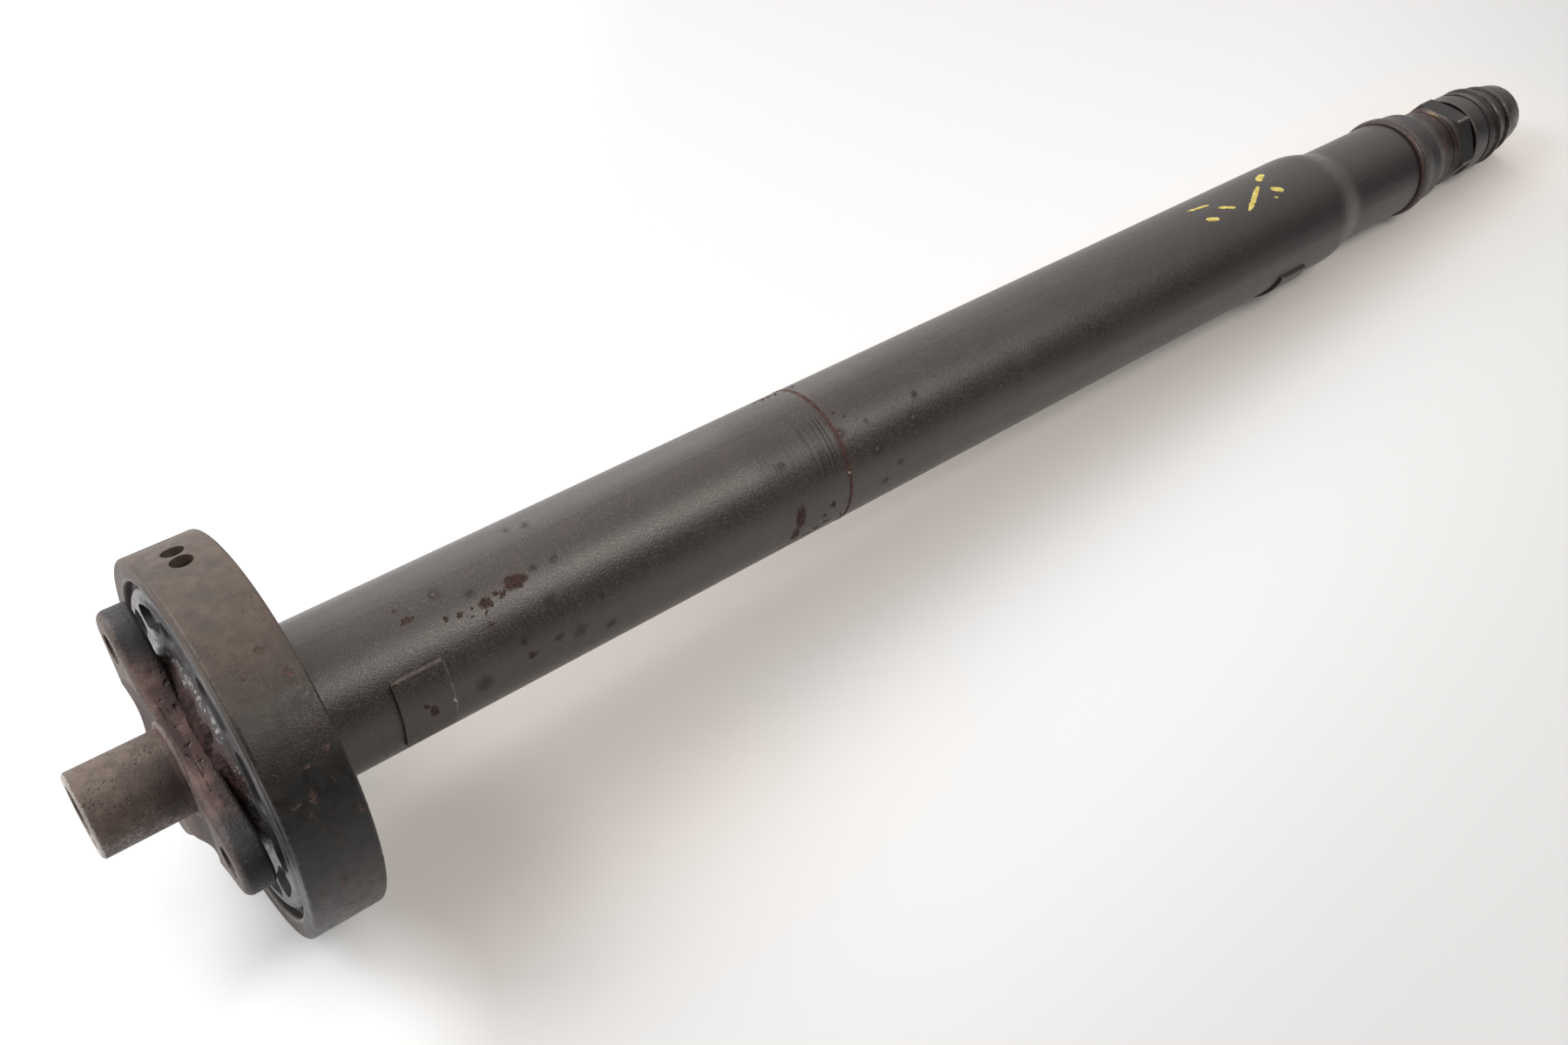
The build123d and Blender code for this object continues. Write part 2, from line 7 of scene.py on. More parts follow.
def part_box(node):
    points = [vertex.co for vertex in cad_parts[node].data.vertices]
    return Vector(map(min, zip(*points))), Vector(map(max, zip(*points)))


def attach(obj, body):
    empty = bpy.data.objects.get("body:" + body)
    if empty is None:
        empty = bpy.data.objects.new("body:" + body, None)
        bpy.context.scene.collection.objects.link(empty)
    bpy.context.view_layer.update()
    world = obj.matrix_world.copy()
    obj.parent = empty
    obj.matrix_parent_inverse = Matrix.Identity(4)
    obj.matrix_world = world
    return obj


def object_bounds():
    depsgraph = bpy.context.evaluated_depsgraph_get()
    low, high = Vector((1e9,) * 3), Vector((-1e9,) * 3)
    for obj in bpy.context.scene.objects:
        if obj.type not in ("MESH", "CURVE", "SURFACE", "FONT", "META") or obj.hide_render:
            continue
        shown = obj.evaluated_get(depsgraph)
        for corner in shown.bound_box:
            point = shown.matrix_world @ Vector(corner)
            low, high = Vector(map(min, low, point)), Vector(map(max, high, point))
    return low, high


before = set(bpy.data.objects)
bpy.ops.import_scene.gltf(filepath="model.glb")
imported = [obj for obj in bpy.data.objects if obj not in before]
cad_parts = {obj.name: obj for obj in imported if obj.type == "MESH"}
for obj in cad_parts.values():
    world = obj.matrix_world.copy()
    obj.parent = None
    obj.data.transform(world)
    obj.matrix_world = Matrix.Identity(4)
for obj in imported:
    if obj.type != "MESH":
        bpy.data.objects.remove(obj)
cad_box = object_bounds()

# Sizes are in metres and angles about the shaft are in degrees from straight up,
# turning from +Z towards -Y. The shaft line is the X axis.
MM = 0.001
tube_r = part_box("front_tube")[1].z
ring_low, ring_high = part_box("damper_ring")
ring_r = ring_high.z
ring_bore_r = ring_r - 0.0085
seam_x = (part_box("seam_weld")[0].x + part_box("seam_weld")[1].x) / 2
sleeve_end_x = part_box("end_sleeve")[1].x
nut_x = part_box("clamp_nut")[0].x
weld_low, weld_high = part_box("rear_weld")
weight_end_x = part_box("front_balance_weight")[1].x
weight_top_angle = 52.1
band_end_x = weld_high.x + 0.0155
hex_end_x = nut_x + 0.016
nut_lip_x = nut_x + 0.0329
boot_lines = (nut_x + 0.0458, nut_x + 0.0600)
thread_low_x = nut_x - 0.0012
thread_high_x = sleeve_end_x - 0.0012
thread_pitch = 0.0015
thread_root_r = 0.0195
thread_top_r = 0.0200
sleeve_r = 0.0234
sleeve_bore_r = 0.0160

# Camera
sensor_width_mm = 36
photo_width_px = 1800
focal_px = 1711.5
camera_place = (-0.0559, -0.3734, 0.4509)
camera_right = (0.77253, -0.63181, 0.06309)
camera_forward = (0.48990, 0.52986, -0.69225)

# Light
light_colour = (1.0, 0.998, 0.992)
sky_colour = (1.0, 0.976, 0.945)
key_place = (-0.55, 0.66, 0.92)
key_size = (0.80, 0.64)
key_power = 14.0
back_place = (0.80, 1.75, 0.70)
back_size = (1.3, 0.8)
back_power = 5.5
top_place = (0.60, -0.64, 0.97)
top_size = (0.86, 0.36)
top_power = 7.4
top_colour = (1.0, 0.975, 0.935)
main_target = (0.35, 0, 0)
top_target = (0.45, 0, 0)
sky_lean = 35.0
sky_high = 1.45
sky_low = 0.06

# Floor: colours, then where they change, in metres
floor_size = 12.0
floor_colour = (0.588, 0.588, 0.596)
floor_far_colour = (0.480, 0.480, 0.484)
floor_dark = (0.05, 0.05, 0.05)
floor_front_colour = (0.444, 0.443, 0.448)
floor_warm_colour = (0.595, 0.550, 0.518)
floor_shaded_colour = (0.445, 0.400, 0.365)
floor_far_zone = (0.43, 0.98)
floor_front_y = (-0.10, -0.38)
floor_warm_x = (0.03, 0.07, 0.84, 1.00)
floor_warm_y = (-0.095, -0.020)
floor_wide_warm_y = (-0.170, -0.045)
floor_wide_warm_x = (0.34, 0.16)
floor_behind_y = (0.10, 0.02)
floor_dark_y = (-0.65, -0.95)
floor_shaded_place = (0.080, -0.040, -ring_r)
floor_shaded_reach = (0.072, 0.015)
floor_shaded_most = 0.75
floor_bright_place = (0.005, -0.080, -ring_r)
floor_bright_reach = (0.085, 0.015)
floor_bright_most = 0.30
floor_glow_zone = (-0.126, 0.134)
floor_glow = (0.42, 0.05)
floor_fade = (0.72, 1.90)

# Zones for masks, named after what they run over: _x stations and _r radii in metres, _turn
# radians. Two numbers are where a mask is 0 and 1; three are a middle, half a width and a soft
# border; four are 0 at the outer numbers and 1 between the inner ones.
rear_tone_x = (0.46, 0.66)
swage_x = (0.669, 0.678, 0.685, 0.695)
scored_x = (0.246, 0.262, seam_x - 0.001, seam_x)
deeply_scored_x = (0.276, 0.288)
deeply_scored_turn = (0.66, 0.30, 0.30)
shade_stripe_x = (0.34, 0.48)
shade_stripe_turn = (1.15, 0.12, 0.24)
shielded_x = (0.30, 0.08)
shielded_turn = (0.25, -0.30)
ring_grey_turn = (0.15, 0.85, 2.2, 2.6)
ring_grime_turn = (0.9, 0.3)
ring_fleck_turn = (0.12, 0.36, 0.70, 1.15)
ring_under_turn = (1.30, 1.80)
boss_shade_turn = (1.80, 0.60, 0.35)
waist_red_r = (0.0535, 0.0425)
waist_r = (0.0325, 0.0330, 0.042, 0.048)
waist_x = (0.0030, 0.0050)
arm_side_x = (0.0040, 0.0110)
arm_side_r = (0.0335, 0.0365)
hub_side_x = (0.0006, 0.0030, 0.0052, 0.0060)
hub_side_r = (0.0380, 0.0330)
boss_rim_x = (0.0022, 0.0004)
boss_rim_r = (0.0375, 0.0390)
collar_lip_x = (0.0024, 0.0006, 0.0008)
collar_lip_r = (0.0193, 0.0004, 0.0006)
recess_lip_x = (0.0012, 0.0002)
recess_lip_r = (0.0395, 0.0382)
snout_x = (0.003, -0.001)
snout_rim_x = (-0.0300, -0.0309)
snout_shadow_x = (-0.022, -0.004)
snout_shadow_turn = (0.95, 0.45, 0.50)
snout_pale_turn = (1.80, 0.30, 0.55)
plate_worn_r = (0.0480, 0.0450)
plate_dirty_r = (0.0530, 0.0440)
plate_hub_r = (0.0435, 0.0405)
band_rim_r = (0.0262, 0.0268)
taper_start_x = (0.783, 0.790)
taper_end_x = (0.804, 0.800)
taper_shade_x = (0.7915, 0.7945)
taper_shade_turn = (0.1, 0.5)
nut_flats_x = (nut_x, nut_x + 0.002, hex_end_x - 0.0006, hex_end_x + 0.0004)
hexagon_corner_r = (0.02590, 0.02640)
nut_collar_r = (0.0236, 0.0241)
nut_lip_r = (0.0222, 0.0226)
# Single patches: station mm, angle, length mm, width mm
weight_glint = (97.6, 84.2, 0.8, 3.6)
seam_glint = (298.2, 67.4, 1.2, 1.0)
golden_patch = (800.4, -5, 3.2, 9.5)

# Limits of noise for an even blend, and the sockets of a node that mixes colours
even = (0.35, 0.65)
mix_amount, mix_first, mix_second, mix_result = 0, 6, 7, 2


def direction(angle):
    """Unit vector across the shaft at an angle in degrees."""
    turn = math.radians(angle)
    return Vector((0, -math.sin(turn), math.cos(turn)))


def on_surface(x, angle, radius):
    """Point at a station, an angle in degrees and a radius."""
    return Vector((x, 0, 0)) + radius * direction(angle)


class Surface:
    """A material that is built from named steps on the shaft's own coordinates."""

    def __init__(self, name):
        self.material = bpy.data.materials.new(name)
        self.material.use_nodes = True
        self.tree = self.material.node_tree
        self.shader = self.tree.nodes["Principled BSDF"]
        self.place = self.add("ShaderNodeTexCoord").outputs["Object"]
        parts = self.add("ShaderNodeSeparateXYZ")
        self.link(self.place, parts.inputs[0])
        self.x, self.y, self.z = parts.outputs
        self.turn = self.calc("ARCTAN2", self.times(self.y, -1), self.z)
        across = self.times(self.y, self.y)
        upward = self.times(self.z, self.z)
        self.radius = self.calc("SQRT", self.plus(across, upward))

    def add(self, kind, **settings):
        """A new node with some settings."""
        node = self.tree.nodes.new(kind)
        for key, value in settings.items():
            setattr(node, key, value)
        return node

    def link(self, source, target):
        """Joins an output to an input."""
        self.tree.links.new(source, target)

    def feed(self, value, target):
        """Links a socket, or writes a number."""
        if isinstance(value, bpy.types.NodeSocket):
            self.link(value, target)
        else:
            target.default_value = value

    def calc(self, operation, first, second=0.0, clamp=False):
        """One step of arithmetic on sockets or numbers."""
        node = self.add("ShaderNodeMath", operation=operation, use_clamp=clamp)
        self.feed(first, node.inputs[0])
        self.feed(second, node.inputs[1])
        return node.outputs[0]

    def vector(self, operation, first, second):
        """One step of vector arithmetic."""
        node = self.add("ShaderNodeVectorMath", operation=operation)
        self.feed(first, node.inputs[0])
        self.feed(second, node.inputs[1])
        return node.outputs["Value" if operation in ("LENGTH", "DISTANCE") else "Vector"]

    def times(self, *values):
        """The product of masks and numbers."""
        product = values[0]
        for value in values[1:]:
            product = self.calc("MULTIPLY", product, value)
        return product

    def plus(self, first, second, clamp=False):
        """The sum of two masks or numbers."""
        return self.calc("ADD", first, second, clamp)

    def shaken(self, value, noise_value, reach):
        """A value that noise moves up and down over a reach."""
        return self.plus(value, self.times(self.calc("SUBTRACT", noise_value, 0.5), reach))

    def unrolled(self, radius):
        """Coordinates on the unrolled surface: station, arc length, nothing."""
        node = self.add("ShaderNodeCombineXYZ")
        self.link(self.x, node.inputs[0])
        self.link(self.times(self.turn, radius), node.inputs[1])
        return node.outputs[0]

    def grain(self, scale, detail=3.0, roughness=0.55, place=None, stretch=None):
        """Noise from 0 to 1, with its scale per metre."""
        place = place or self.place
        if stretch:
            place = self.vector("MULTIPLY", place, stretch)
        node = self.add("ShaderNodeTexNoise")
        self.link(place, node.inputs["Vector"])
        node.inputs["Scale"].default_value = scale
        node.inputs["Detail"].default_value = detail
        node.inputs["Roughness"].default_value = roughness
        return node.outputs["Fac"]

    def drawn_out(self, along, around, detail=2):
        """Noise drawn out round the shaft, with its scales along it and around it."""
        return self.grain(1, detail, stretch=(along, around, around))

    def cells(self, scale, place=None):
        """Distance to the middle of the nearest cell."""
        node = self.add("ShaderNodeTexVoronoi")
        self.link(place or self.place, node.inputs["Vector"])
        node.inputs["Scale"].default_value = scale
        return node.outputs["Distance"]

    def warped_cells(self, scale):
        """Cells with ragged walls."""
        return self.cells(scale, place=self.warped(self.place, scale * 0.8, 1.2 / scale))

    def spread(self, value, low, high, to_low=0.0, to_high=1.0):
        """Maps low..high smoothly to to_low..to_high, and holds it outside."""
        node = self.add("ShaderNodeMapRange", interpolation_type="SMOOTHSTEP")
        self.link(value, node.inputs["Value"])
        limits = {"From Min": low, "From Max": high, "To Min": to_low, "To Max": to_high}
        for key, number in limits.items():
            node.inputs[key].default_value = number
        return node.outputs["Result"]

    def window(self, value, outer_low, low, high, outer_high):
        """1 from low to high, falling to 0 at the outer numbers."""
        return self.times(self.spread(value, outer_low, low), self.spread(value, outer_high, high))

    def sheen(self, noise_value, glossy, matt):
        """Roughness that noise moves between two values."""
        return self.spread(noise_value, 0.3, 0.7, glossy, matt)

    def mix(self, amount, first, second):
        """Mixes two colours."""
        node = self.add("ShaderNodeMix", data_type="RGBA")
        self.feed(amount, node.inputs[mix_amount])
        for value, target in ((first, node.inputs[mix_first]), (second, node.inputs[mix_second])):
            if isinstance(value, bpy.types.NodeSocket):
                self.link(value, target)
            else:
                target.default_value = (*value, 1)
        return node.outputs[mix_result]

    def stain(self, base, mask, strength, colour):
        """Mixes a colour into the base by a mask, at most at a strength."""
        return self.mix(self.times(mask, strength), base, colour)

    def mottled(self, scale, detail, limits, first, second):
        """Two colours that noise mixes between its limits."""
        return self.mix(self.spread(self.grain(scale, detail), *limits), first, second)

    def patch(self, place, x, angle, length, width, radius, soft=0.35):
        """1 inside an oval patch on the unrolled surface, falling to 0 at its rim."""
        middle = (x * MM, math.radians(angle) * radius, 0)
        offset = self.vector("SUBTRACT", place, middle)
        scaled = self.vector("MULTIPLY", offset, (2 / (length * MM), 2 / (width * MM), 0))
        distance = self.vector("LENGTH", scaled, (0, 0, 0))
        return self.spread(distance, 1 + soft, 1 - soft)

    def warped(self, place, scale, reach):
        """Coordinates shaken by noise, for ragged outlines."""
        noise_node = self.add("ShaderNodeTexNoise")
        self.link(place, noise_node.inputs["Vector"])
        noise_node.inputs["Scale"].default_value = scale
        noise_node.inputs["Detail"].default_value = 4
        shift = self.vector("SUBTRACT", noise_node.outputs["Color"], (0.5, 0.5, 0.5))
        return self.vector("ADD", place, self.vector("MULTIPLY", shift, (reach, reach, reach)))

    def line(self, value, middle, half, soft):
        """1 where the value is within half of the middle, falling to 0 beyond."""
        away = self.calc("ABSOLUTE", self.calc("SUBTRACT", value, middle))
        return self.spread(away, half + soft, half)

    def highest(self, values):
        """The union of masks."""
        top = values[0]
        for value in values[1:]:
            top = self.calc("MAXIMUM", top, value)
        return top

    def bump(self, height, distance, strength=1.0, below=None):
        """A normal from a height, on top of the normal below it."""
        node = self.add("ShaderNodeBump")
        node.inputs["Strength"].default_value = strength
        node.inputs["Distance"].default_value = distance
        self.link(height, node.inputs["Height"])
        if below:
            self.link(below, node.inputs["Normal"])
        return node.outputs["Normal"]

    def finish(self, colour, roughness, normal=None, metallic=0.0, specular=0.5, tint=(1, 1, 1)):
        """Feeds the shader and returns the material."""
        inputs = self.shader.inputs
        self.link(colour, inputs["Base Color"])
        self.feed(roughness, inputs["Roughness"])
        self.feed(metallic, inputs["Metallic"])
        self.feed(specular, inputs["Specular IOR Level"])
        inputs["Specular Tint"].default_value = (*tint, 1)
        if normal:
            self.link(normal, inputs["Normal"])
        return self.material


# Rust spots on the tubes: station mm, angle, length mm, width mm
rust_patches = (
    (137, 27, 10, 6),
    (122.5, 32, 5.5, 4),
    (130.5, 30.5, 4, 1.4),
    (112, 32, 2.4, 1.6),
    (106, 29, 2.0, 2.4),
    (93, 19, 5.5, 3),
    (91, 9, 1.8, 1.6),
    (117, 31, 1.4, 1.2),
    (120.5, 46, 3, 1.6),
    (133, 82, 3, 3.2),
    (269.6, 86, 5.5, 13),
    (267.6, 103, 4.5, 9),
    (288, 89, 3.2, 4.4),
    (284, 98, 2.2, 2.0),
    (286, 108, 6, 2.4),
    (281, 110, 5, 2.0),
    (275.5, 112, 5, 2.0),
    (262, 116, 4, 1.6),
    (88.4, 82.7, 3.4, 4.4),
    (86, 77, 2.2, 1.8),
    (77.5, 52.5, 3, 2.0),
    (115, 35, 2.0, 1.2),
    (121, 38, 1.4, 1.2),
    (127.5, 29, 3.0, 1.2),
    (129, 33, 1.6, 1.0),
    (134, 28.5, 2.2, 1.4),
    (285, -37, 6, 1.6),
    (303, -33, 5, 1.4),
    (290, -34.6, 8, 1.6),
)
# Dabs of yellow paint on the rear tube: a path of station mm and arc mm, and a width mm
paint_marks = (
    (((569.0, -7.4), (574.0, -6.2), (579.0, -5.4), (584.0, -4.2)), 1.9),
    (((570.5, 4.4), (574.0, 5.6), (578.5, 7.4)), 3.0),
    (((585.0, 0.6), (589.5, 2.6), (594.5, 5.6)), 2.3),
    (((600.0, 10.8), (607.0, 7.4), (615.0, 2.8), (622.5, -1.2)), 3.1),
    (((627.0, -4.4), (631.5, -7.2), (637.0, -9.0)), 4.2),
    (((626.5, 4.2), (630.0, 6.4), (633.5, 8.6)), 4.0),
    (((623.0, 10.2), (625.5, 11.0)), 1.4),
)
# Spatters of weld beside the seam: station mm, angle, width mm
seam_spatters = (
    (293.5, -33.0, 1.6),
    (290.2, -35.5, 1.1),
    (286.6, -34.0, 1.5),
    (282.4, -36.0, 0.9),
    (302.6, -31.0, 1.3),
    (296.1, 62.0, 0.9),
    (301.2, 74.0, 0.8),
    (303.5, 18.0, 1.7),
    (295.4, 110.0, 1.2),
    (292.0, 150.0, 1.0),
    (304.0, 205.0, 1.4),
    (294.5, 250.0, 1.1),
)
# Half section of the rusty fillet behind the flange: station mm and radius mm
crust_profile = (
    (9.2, 32.6),
    (9.4, 33.8),
    (9.8, 35.2),
    (10.4, 36.6),
    (11.2, 38.0),
    (12.2, 39.4),
    (13.4, 40.6),
    (14.8, 41.2),
)
# Faint dark stains: station mm, angle, width mm, and 1 if the middle is light
stains = (
    (107, 10, 4.5, 1),
    (119, 21, 3.5, 0),
    (146, 51, 5, 0),
    (155.5, 26, 3, 1),
    (148, -16, 3, 0),
    (155, -12, 3, 0),
    (146, 25, 3, 0),
    (155, 83, 5, 0),
    (145, 79, 3, 0),
    (131, 68, 3, 0),
    (111, 86, 6, 0),
    (169, 92, 4, 0),
    (167, 64, 3, 0),
    (266, 38, 3, 1),
    (300.4, 35.6, 4.5, 1),
    (340, 50, 5, 1),
    (346, 34, 3, 0),
    (316, 60, 6, 1),
    (307, 25, 1.6, 0),
    (316, 36, 2, 0),
    (328, 81, 3, 0),
    (320, 94, 3, 0),
)
# Rust spots on the damper ring: station mm, angle, length mm, width mm
ring_spots = (
    (33.5, 22, 3.4, 3.0),
    (38, 30, 2.6, 4.2),
    (25, 27, 1.6, 2.0),
    (38, 44, 3.0, 1.8),
    (38, 51, 2.2, 3.4),
    (30, 53, 1.8, 1.6),
    (28, 61, 2.4, 6.0),
    (41, 70, 1.8, 3.6),
    (25, 65, 1.6, 1.8),
    (22, 61, 3.6, 1.6),
    (20, 90, 1.6, 3.2),
    (28, 90, 3.4, 5.0),
    (30, 103, 4.4, 1.6),
    (24, 107, 3.0, 1.4),
    (37, 97, 1.6, 2.2),
    (31, 76, 1.4, 1.6),
)


def tube_paint():
    """Satin black paint with a fine grain, rust patches and faint stains."""
    s = Surface("tube_paint")
    flat = s.unrolled(tube_r)
    ragged = s.warped(flat, 420, 0.005)
    rust = s.highest([s.patch(ragged, *spot, tube_r, soft=0.26) for spot in rust_patches])
    outer, inner = [], []
    for x, angle, width, ringed in stains:
        outer.append(s.patch(ragged, x, angle, 1.2 * width, 1.2 * width, tube_r, soft=0.75))
        if ringed:
            inner.append(s.patch(flat, x, angle, 0.35 * width, 0.35 * width, tube_r))
    dark, light = s.highest(outer), s.highest(inner)
    cloud = s.grain(14, 3)
    patina = s.grain(60, 4)
    sparkle = s.grain(1500, 2)
    base = s.mix(s.spread(cloud, *even), (0.0225, 0.0180, 0.0165), (0.0300, 0.0240, 0.0218))
    base = s.mix(s.spread(patina, 0.5, 0.8, 0, 0.5), base, (0.046, 0.037, 0.033))
    base = s.mix(s.spread(sparkle, 0.56, 0.74, 0, 0.6), base, (0.130, 0.108, 0.098))
    # The rear tube gets cooler and darker, and a painted highlight lightens it where it is drawn
    # down.
    rear = s.spread(s.x, *rear_tone_x)
    base = s.stain(base, rear, 0.8, (0.0175, 0.0145, 0.0155))
    base = s.stain(base, s.window(s.x, *swage_x), 0.75, (0.058, 0.051, 0.047))
    base = s.stain(base, dark, 0.7, (0.0095, 0.0070, 0.0068))
    base = s.stain(base, light, 0.55, (0.12, 0.09, 0.07))
    rust_tone = s.mottled(900, 3, (0.4, 0.65), (0.0225, 0.0115, 0.0102), (0.052, 0.0265, 0.0225))
    base = s.mix(rust, base, rust_tone)
    toe = s.line(s.x, weld_low.x - 0.0012, 0.0007, 0.0020)
    base = s.stain(base, toe, 0.6, (0.010, 0.0060, 0.0060))
    # The balance weights: painted highlights on their thin edges and a painted glint. The rusty
    # spot weld on the front one is among the rust patches.
    raised = s.spread(s.radius, tube_r + 0.0010, tube_r + 0.0013)
    edge_x = s.line(s.x, weight_end_x - 0.0002, 0.0003, 0.0003)
    edge_turn = s.line(s.turn, math.radians(weight_top_angle), 0.008, 0.010)
    highlight_breaks = s.spread(s.grain(600, 3), 0.38, 0.55, 0.3, 1.0)
    edge_highlights = s.times(s.highest([edge_x, edge_turn]), raised, highlight_breaks)
    base = s.stain(base, edge_highlights, 0.8, (0.120, 0.098, 0.088))
    glint = s.patch(ragged, *weight_glint, tube_r)
    base = s.mix(glint, base, (0.36, 0.34, 0.32))
    # The rust that creeps from the seam, and the turning marks in front of it.
    to_seam = s.calc("ABSOLUTE", s.calc("SUBTRACT", s.x, seam_x))
    creep = s.spread(s.shaken(to_seam, s.grain(260, 4), 0.0032), 0.0019, 0.0007)
    base = s.mix(creep, base, rust_tone)
    marks = s.drawn_out(3400, 2)
    zone = s.window(s.x, *scored_x)
    lathe = s.times(marks, zone)
    scored = s.times(s.spread(s.drawn_out(900, 5), 0.50, 0.58), zone)
    scored = s.times(scored, s.line(s.turn, *deeply_scored_turn), s.spread(s.x, *deeply_scored_x))
    base = s.stain(base, scored, 0.5, (0.008, 0.007, 0.007))
    rough = s.sheen(s.grain(1500, 2), 0.26, 0.46)
    rough = s.plus(rough, s.times(rust, 0.35))
    rough = s.plus(rough, s.times(dark, 0.18), clamp=True)
    normal = s.bump(s.grain(1500, 3), 0.00021, 0.7)
    normal = s.bump(lathe, 0.0002, 1.0, normal)
    normal = s.bump(rust, 0.0002, 0.8, normal)
    # Painted shade in the reflections: a dull stripe runs along the rear tube, and the tube is
    # duller above, close to the ring.
    shade_stripe = s.times(s.line(s.turn, *shade_stripe_turn), s.spread(s.x, *shade_stripe_x, 0, 0.5))
    shielded = s.times(s.spread(s.turn, *shielded_turn), s.spread(s.x, *shielded_x, 0, 0.35))
    marked = [s.times(rust, 0.65), s.times(dark, 0.45), s.times(scored, 0.5)]
    dull = s.highest([*marked, toe, shade_stripe, shielded])
    gloss = s.spread(dull, 0, 1, 0.62, 0.08)
    return s.finish(base, rough, normal, specular=gloss, tint=(1, 0.950, 0.912))


def ring_steel():
    """Brown surface rust on top, dark satin grey lower down and partly painted shade, with orange
    flecks between and a painted floor reflection underneath.
    """
    s = Surface("ring_steel")
    flat = s.unrolled(ring_r)
    cloud = s.grain(38, 5)
    fine = s.grain(1300, 3)
    angle = s.shaken(s.turn, cloud, 0.9)
    # The dark grey side is partly the ring's own colour and partly painted shade.
    low = s.window(angle, *ring_grey_turn)
    mottle = s.spread(s.grain(210, 5), 0.34, 0.68)
    grey = s.mix(mottle, (0.0085, 0.0080, 0.0078), (0.0160, 0.0150, 0.0145))
    brown = s.mix(mottle, (0.058, 0.0400, 0.0320), (0.078, 0.0545, 0.0440))
    base = s.mix(low, brown, grey)
    grime = s.times(s.spread(s.grain(85, 5), 0.50, 0.64), s.spread(angle, *ring_grime_turn))
    base = s.stain(base, grime, 0.45, (0.034, 0.029, 0.027))
    band = s.window(s.turn, *ring_fleck_turn)
    speckle = s.spread(s.grain(900, 3, place=flat), 0.54, 0.64)
    fleck = s.times(speckle, band, s.spread(s.grain(34, 2), 0.40, 0.56))
    base = s.stain(base, fleck, 0.5, (0.115, 0.064, 0.037))
    # Painted reflection of the floor: the underside is lighter.
    base = s.mix(s.spread(s.turn, *ring_under_turn, 0, 0.7), base, (0.0345, 0.0300, 0.0275))
    ragged = s.warped(flat, 520, 0.0045)
    spots = s.highest([s.patch(ragged, *spot, ring_r, soft=0.25) for spot in ring_spots])
    spot_tone = s.mottled(700, 3, (0.40, 0.62), (0.030, 0.017, 0.015), (0.080, 0.044, 0.034))
    base = s.stain(base, spots, 0.85, spot_tone)
    pits = s.spread(s.cells(420), 0.24, 0.12)
    pits = s.times(pits, s.spread(s.grain(55, 3), 0.50, 0.60))
    base = s.stain(base, pits, 0.6, (0.020, 0.015, 0.013))
    lathe = s.drawn_out(2600, 3)
    rough = s.sheen(s.grain(220, 3), 0.36, 0.48)
    rough = s.plus(rough, s.spread(low, 0, 1, 0.16, 0))
    rough = s.plus(rough, s.times(spots, 0.2), clamp=True)
    normal = s.bump(fine, 0.0002, 0.55)
    normal = s.bump(lathe, 0.00006, 0.5, normal)
    normal = s.bump(pits, -0.0003, 0.5, normal)
    # Painted highlight: a light line along the ring's inner lip.
    lip = s.line(s.radius, ring_bore_r + 0.0006, 0.0005, 0.0004)
    lip = s.times(lip, s.spread(s.x, ring_low.x + 0.0016, ring_low.x + 0.0008))
    base = s.stain(base, lip, 0.7, (0.20, 0.175, 0.165))
    return s.finish(base, rough, normal, specular=0.42, tint=(1, 0.96, 0.92))


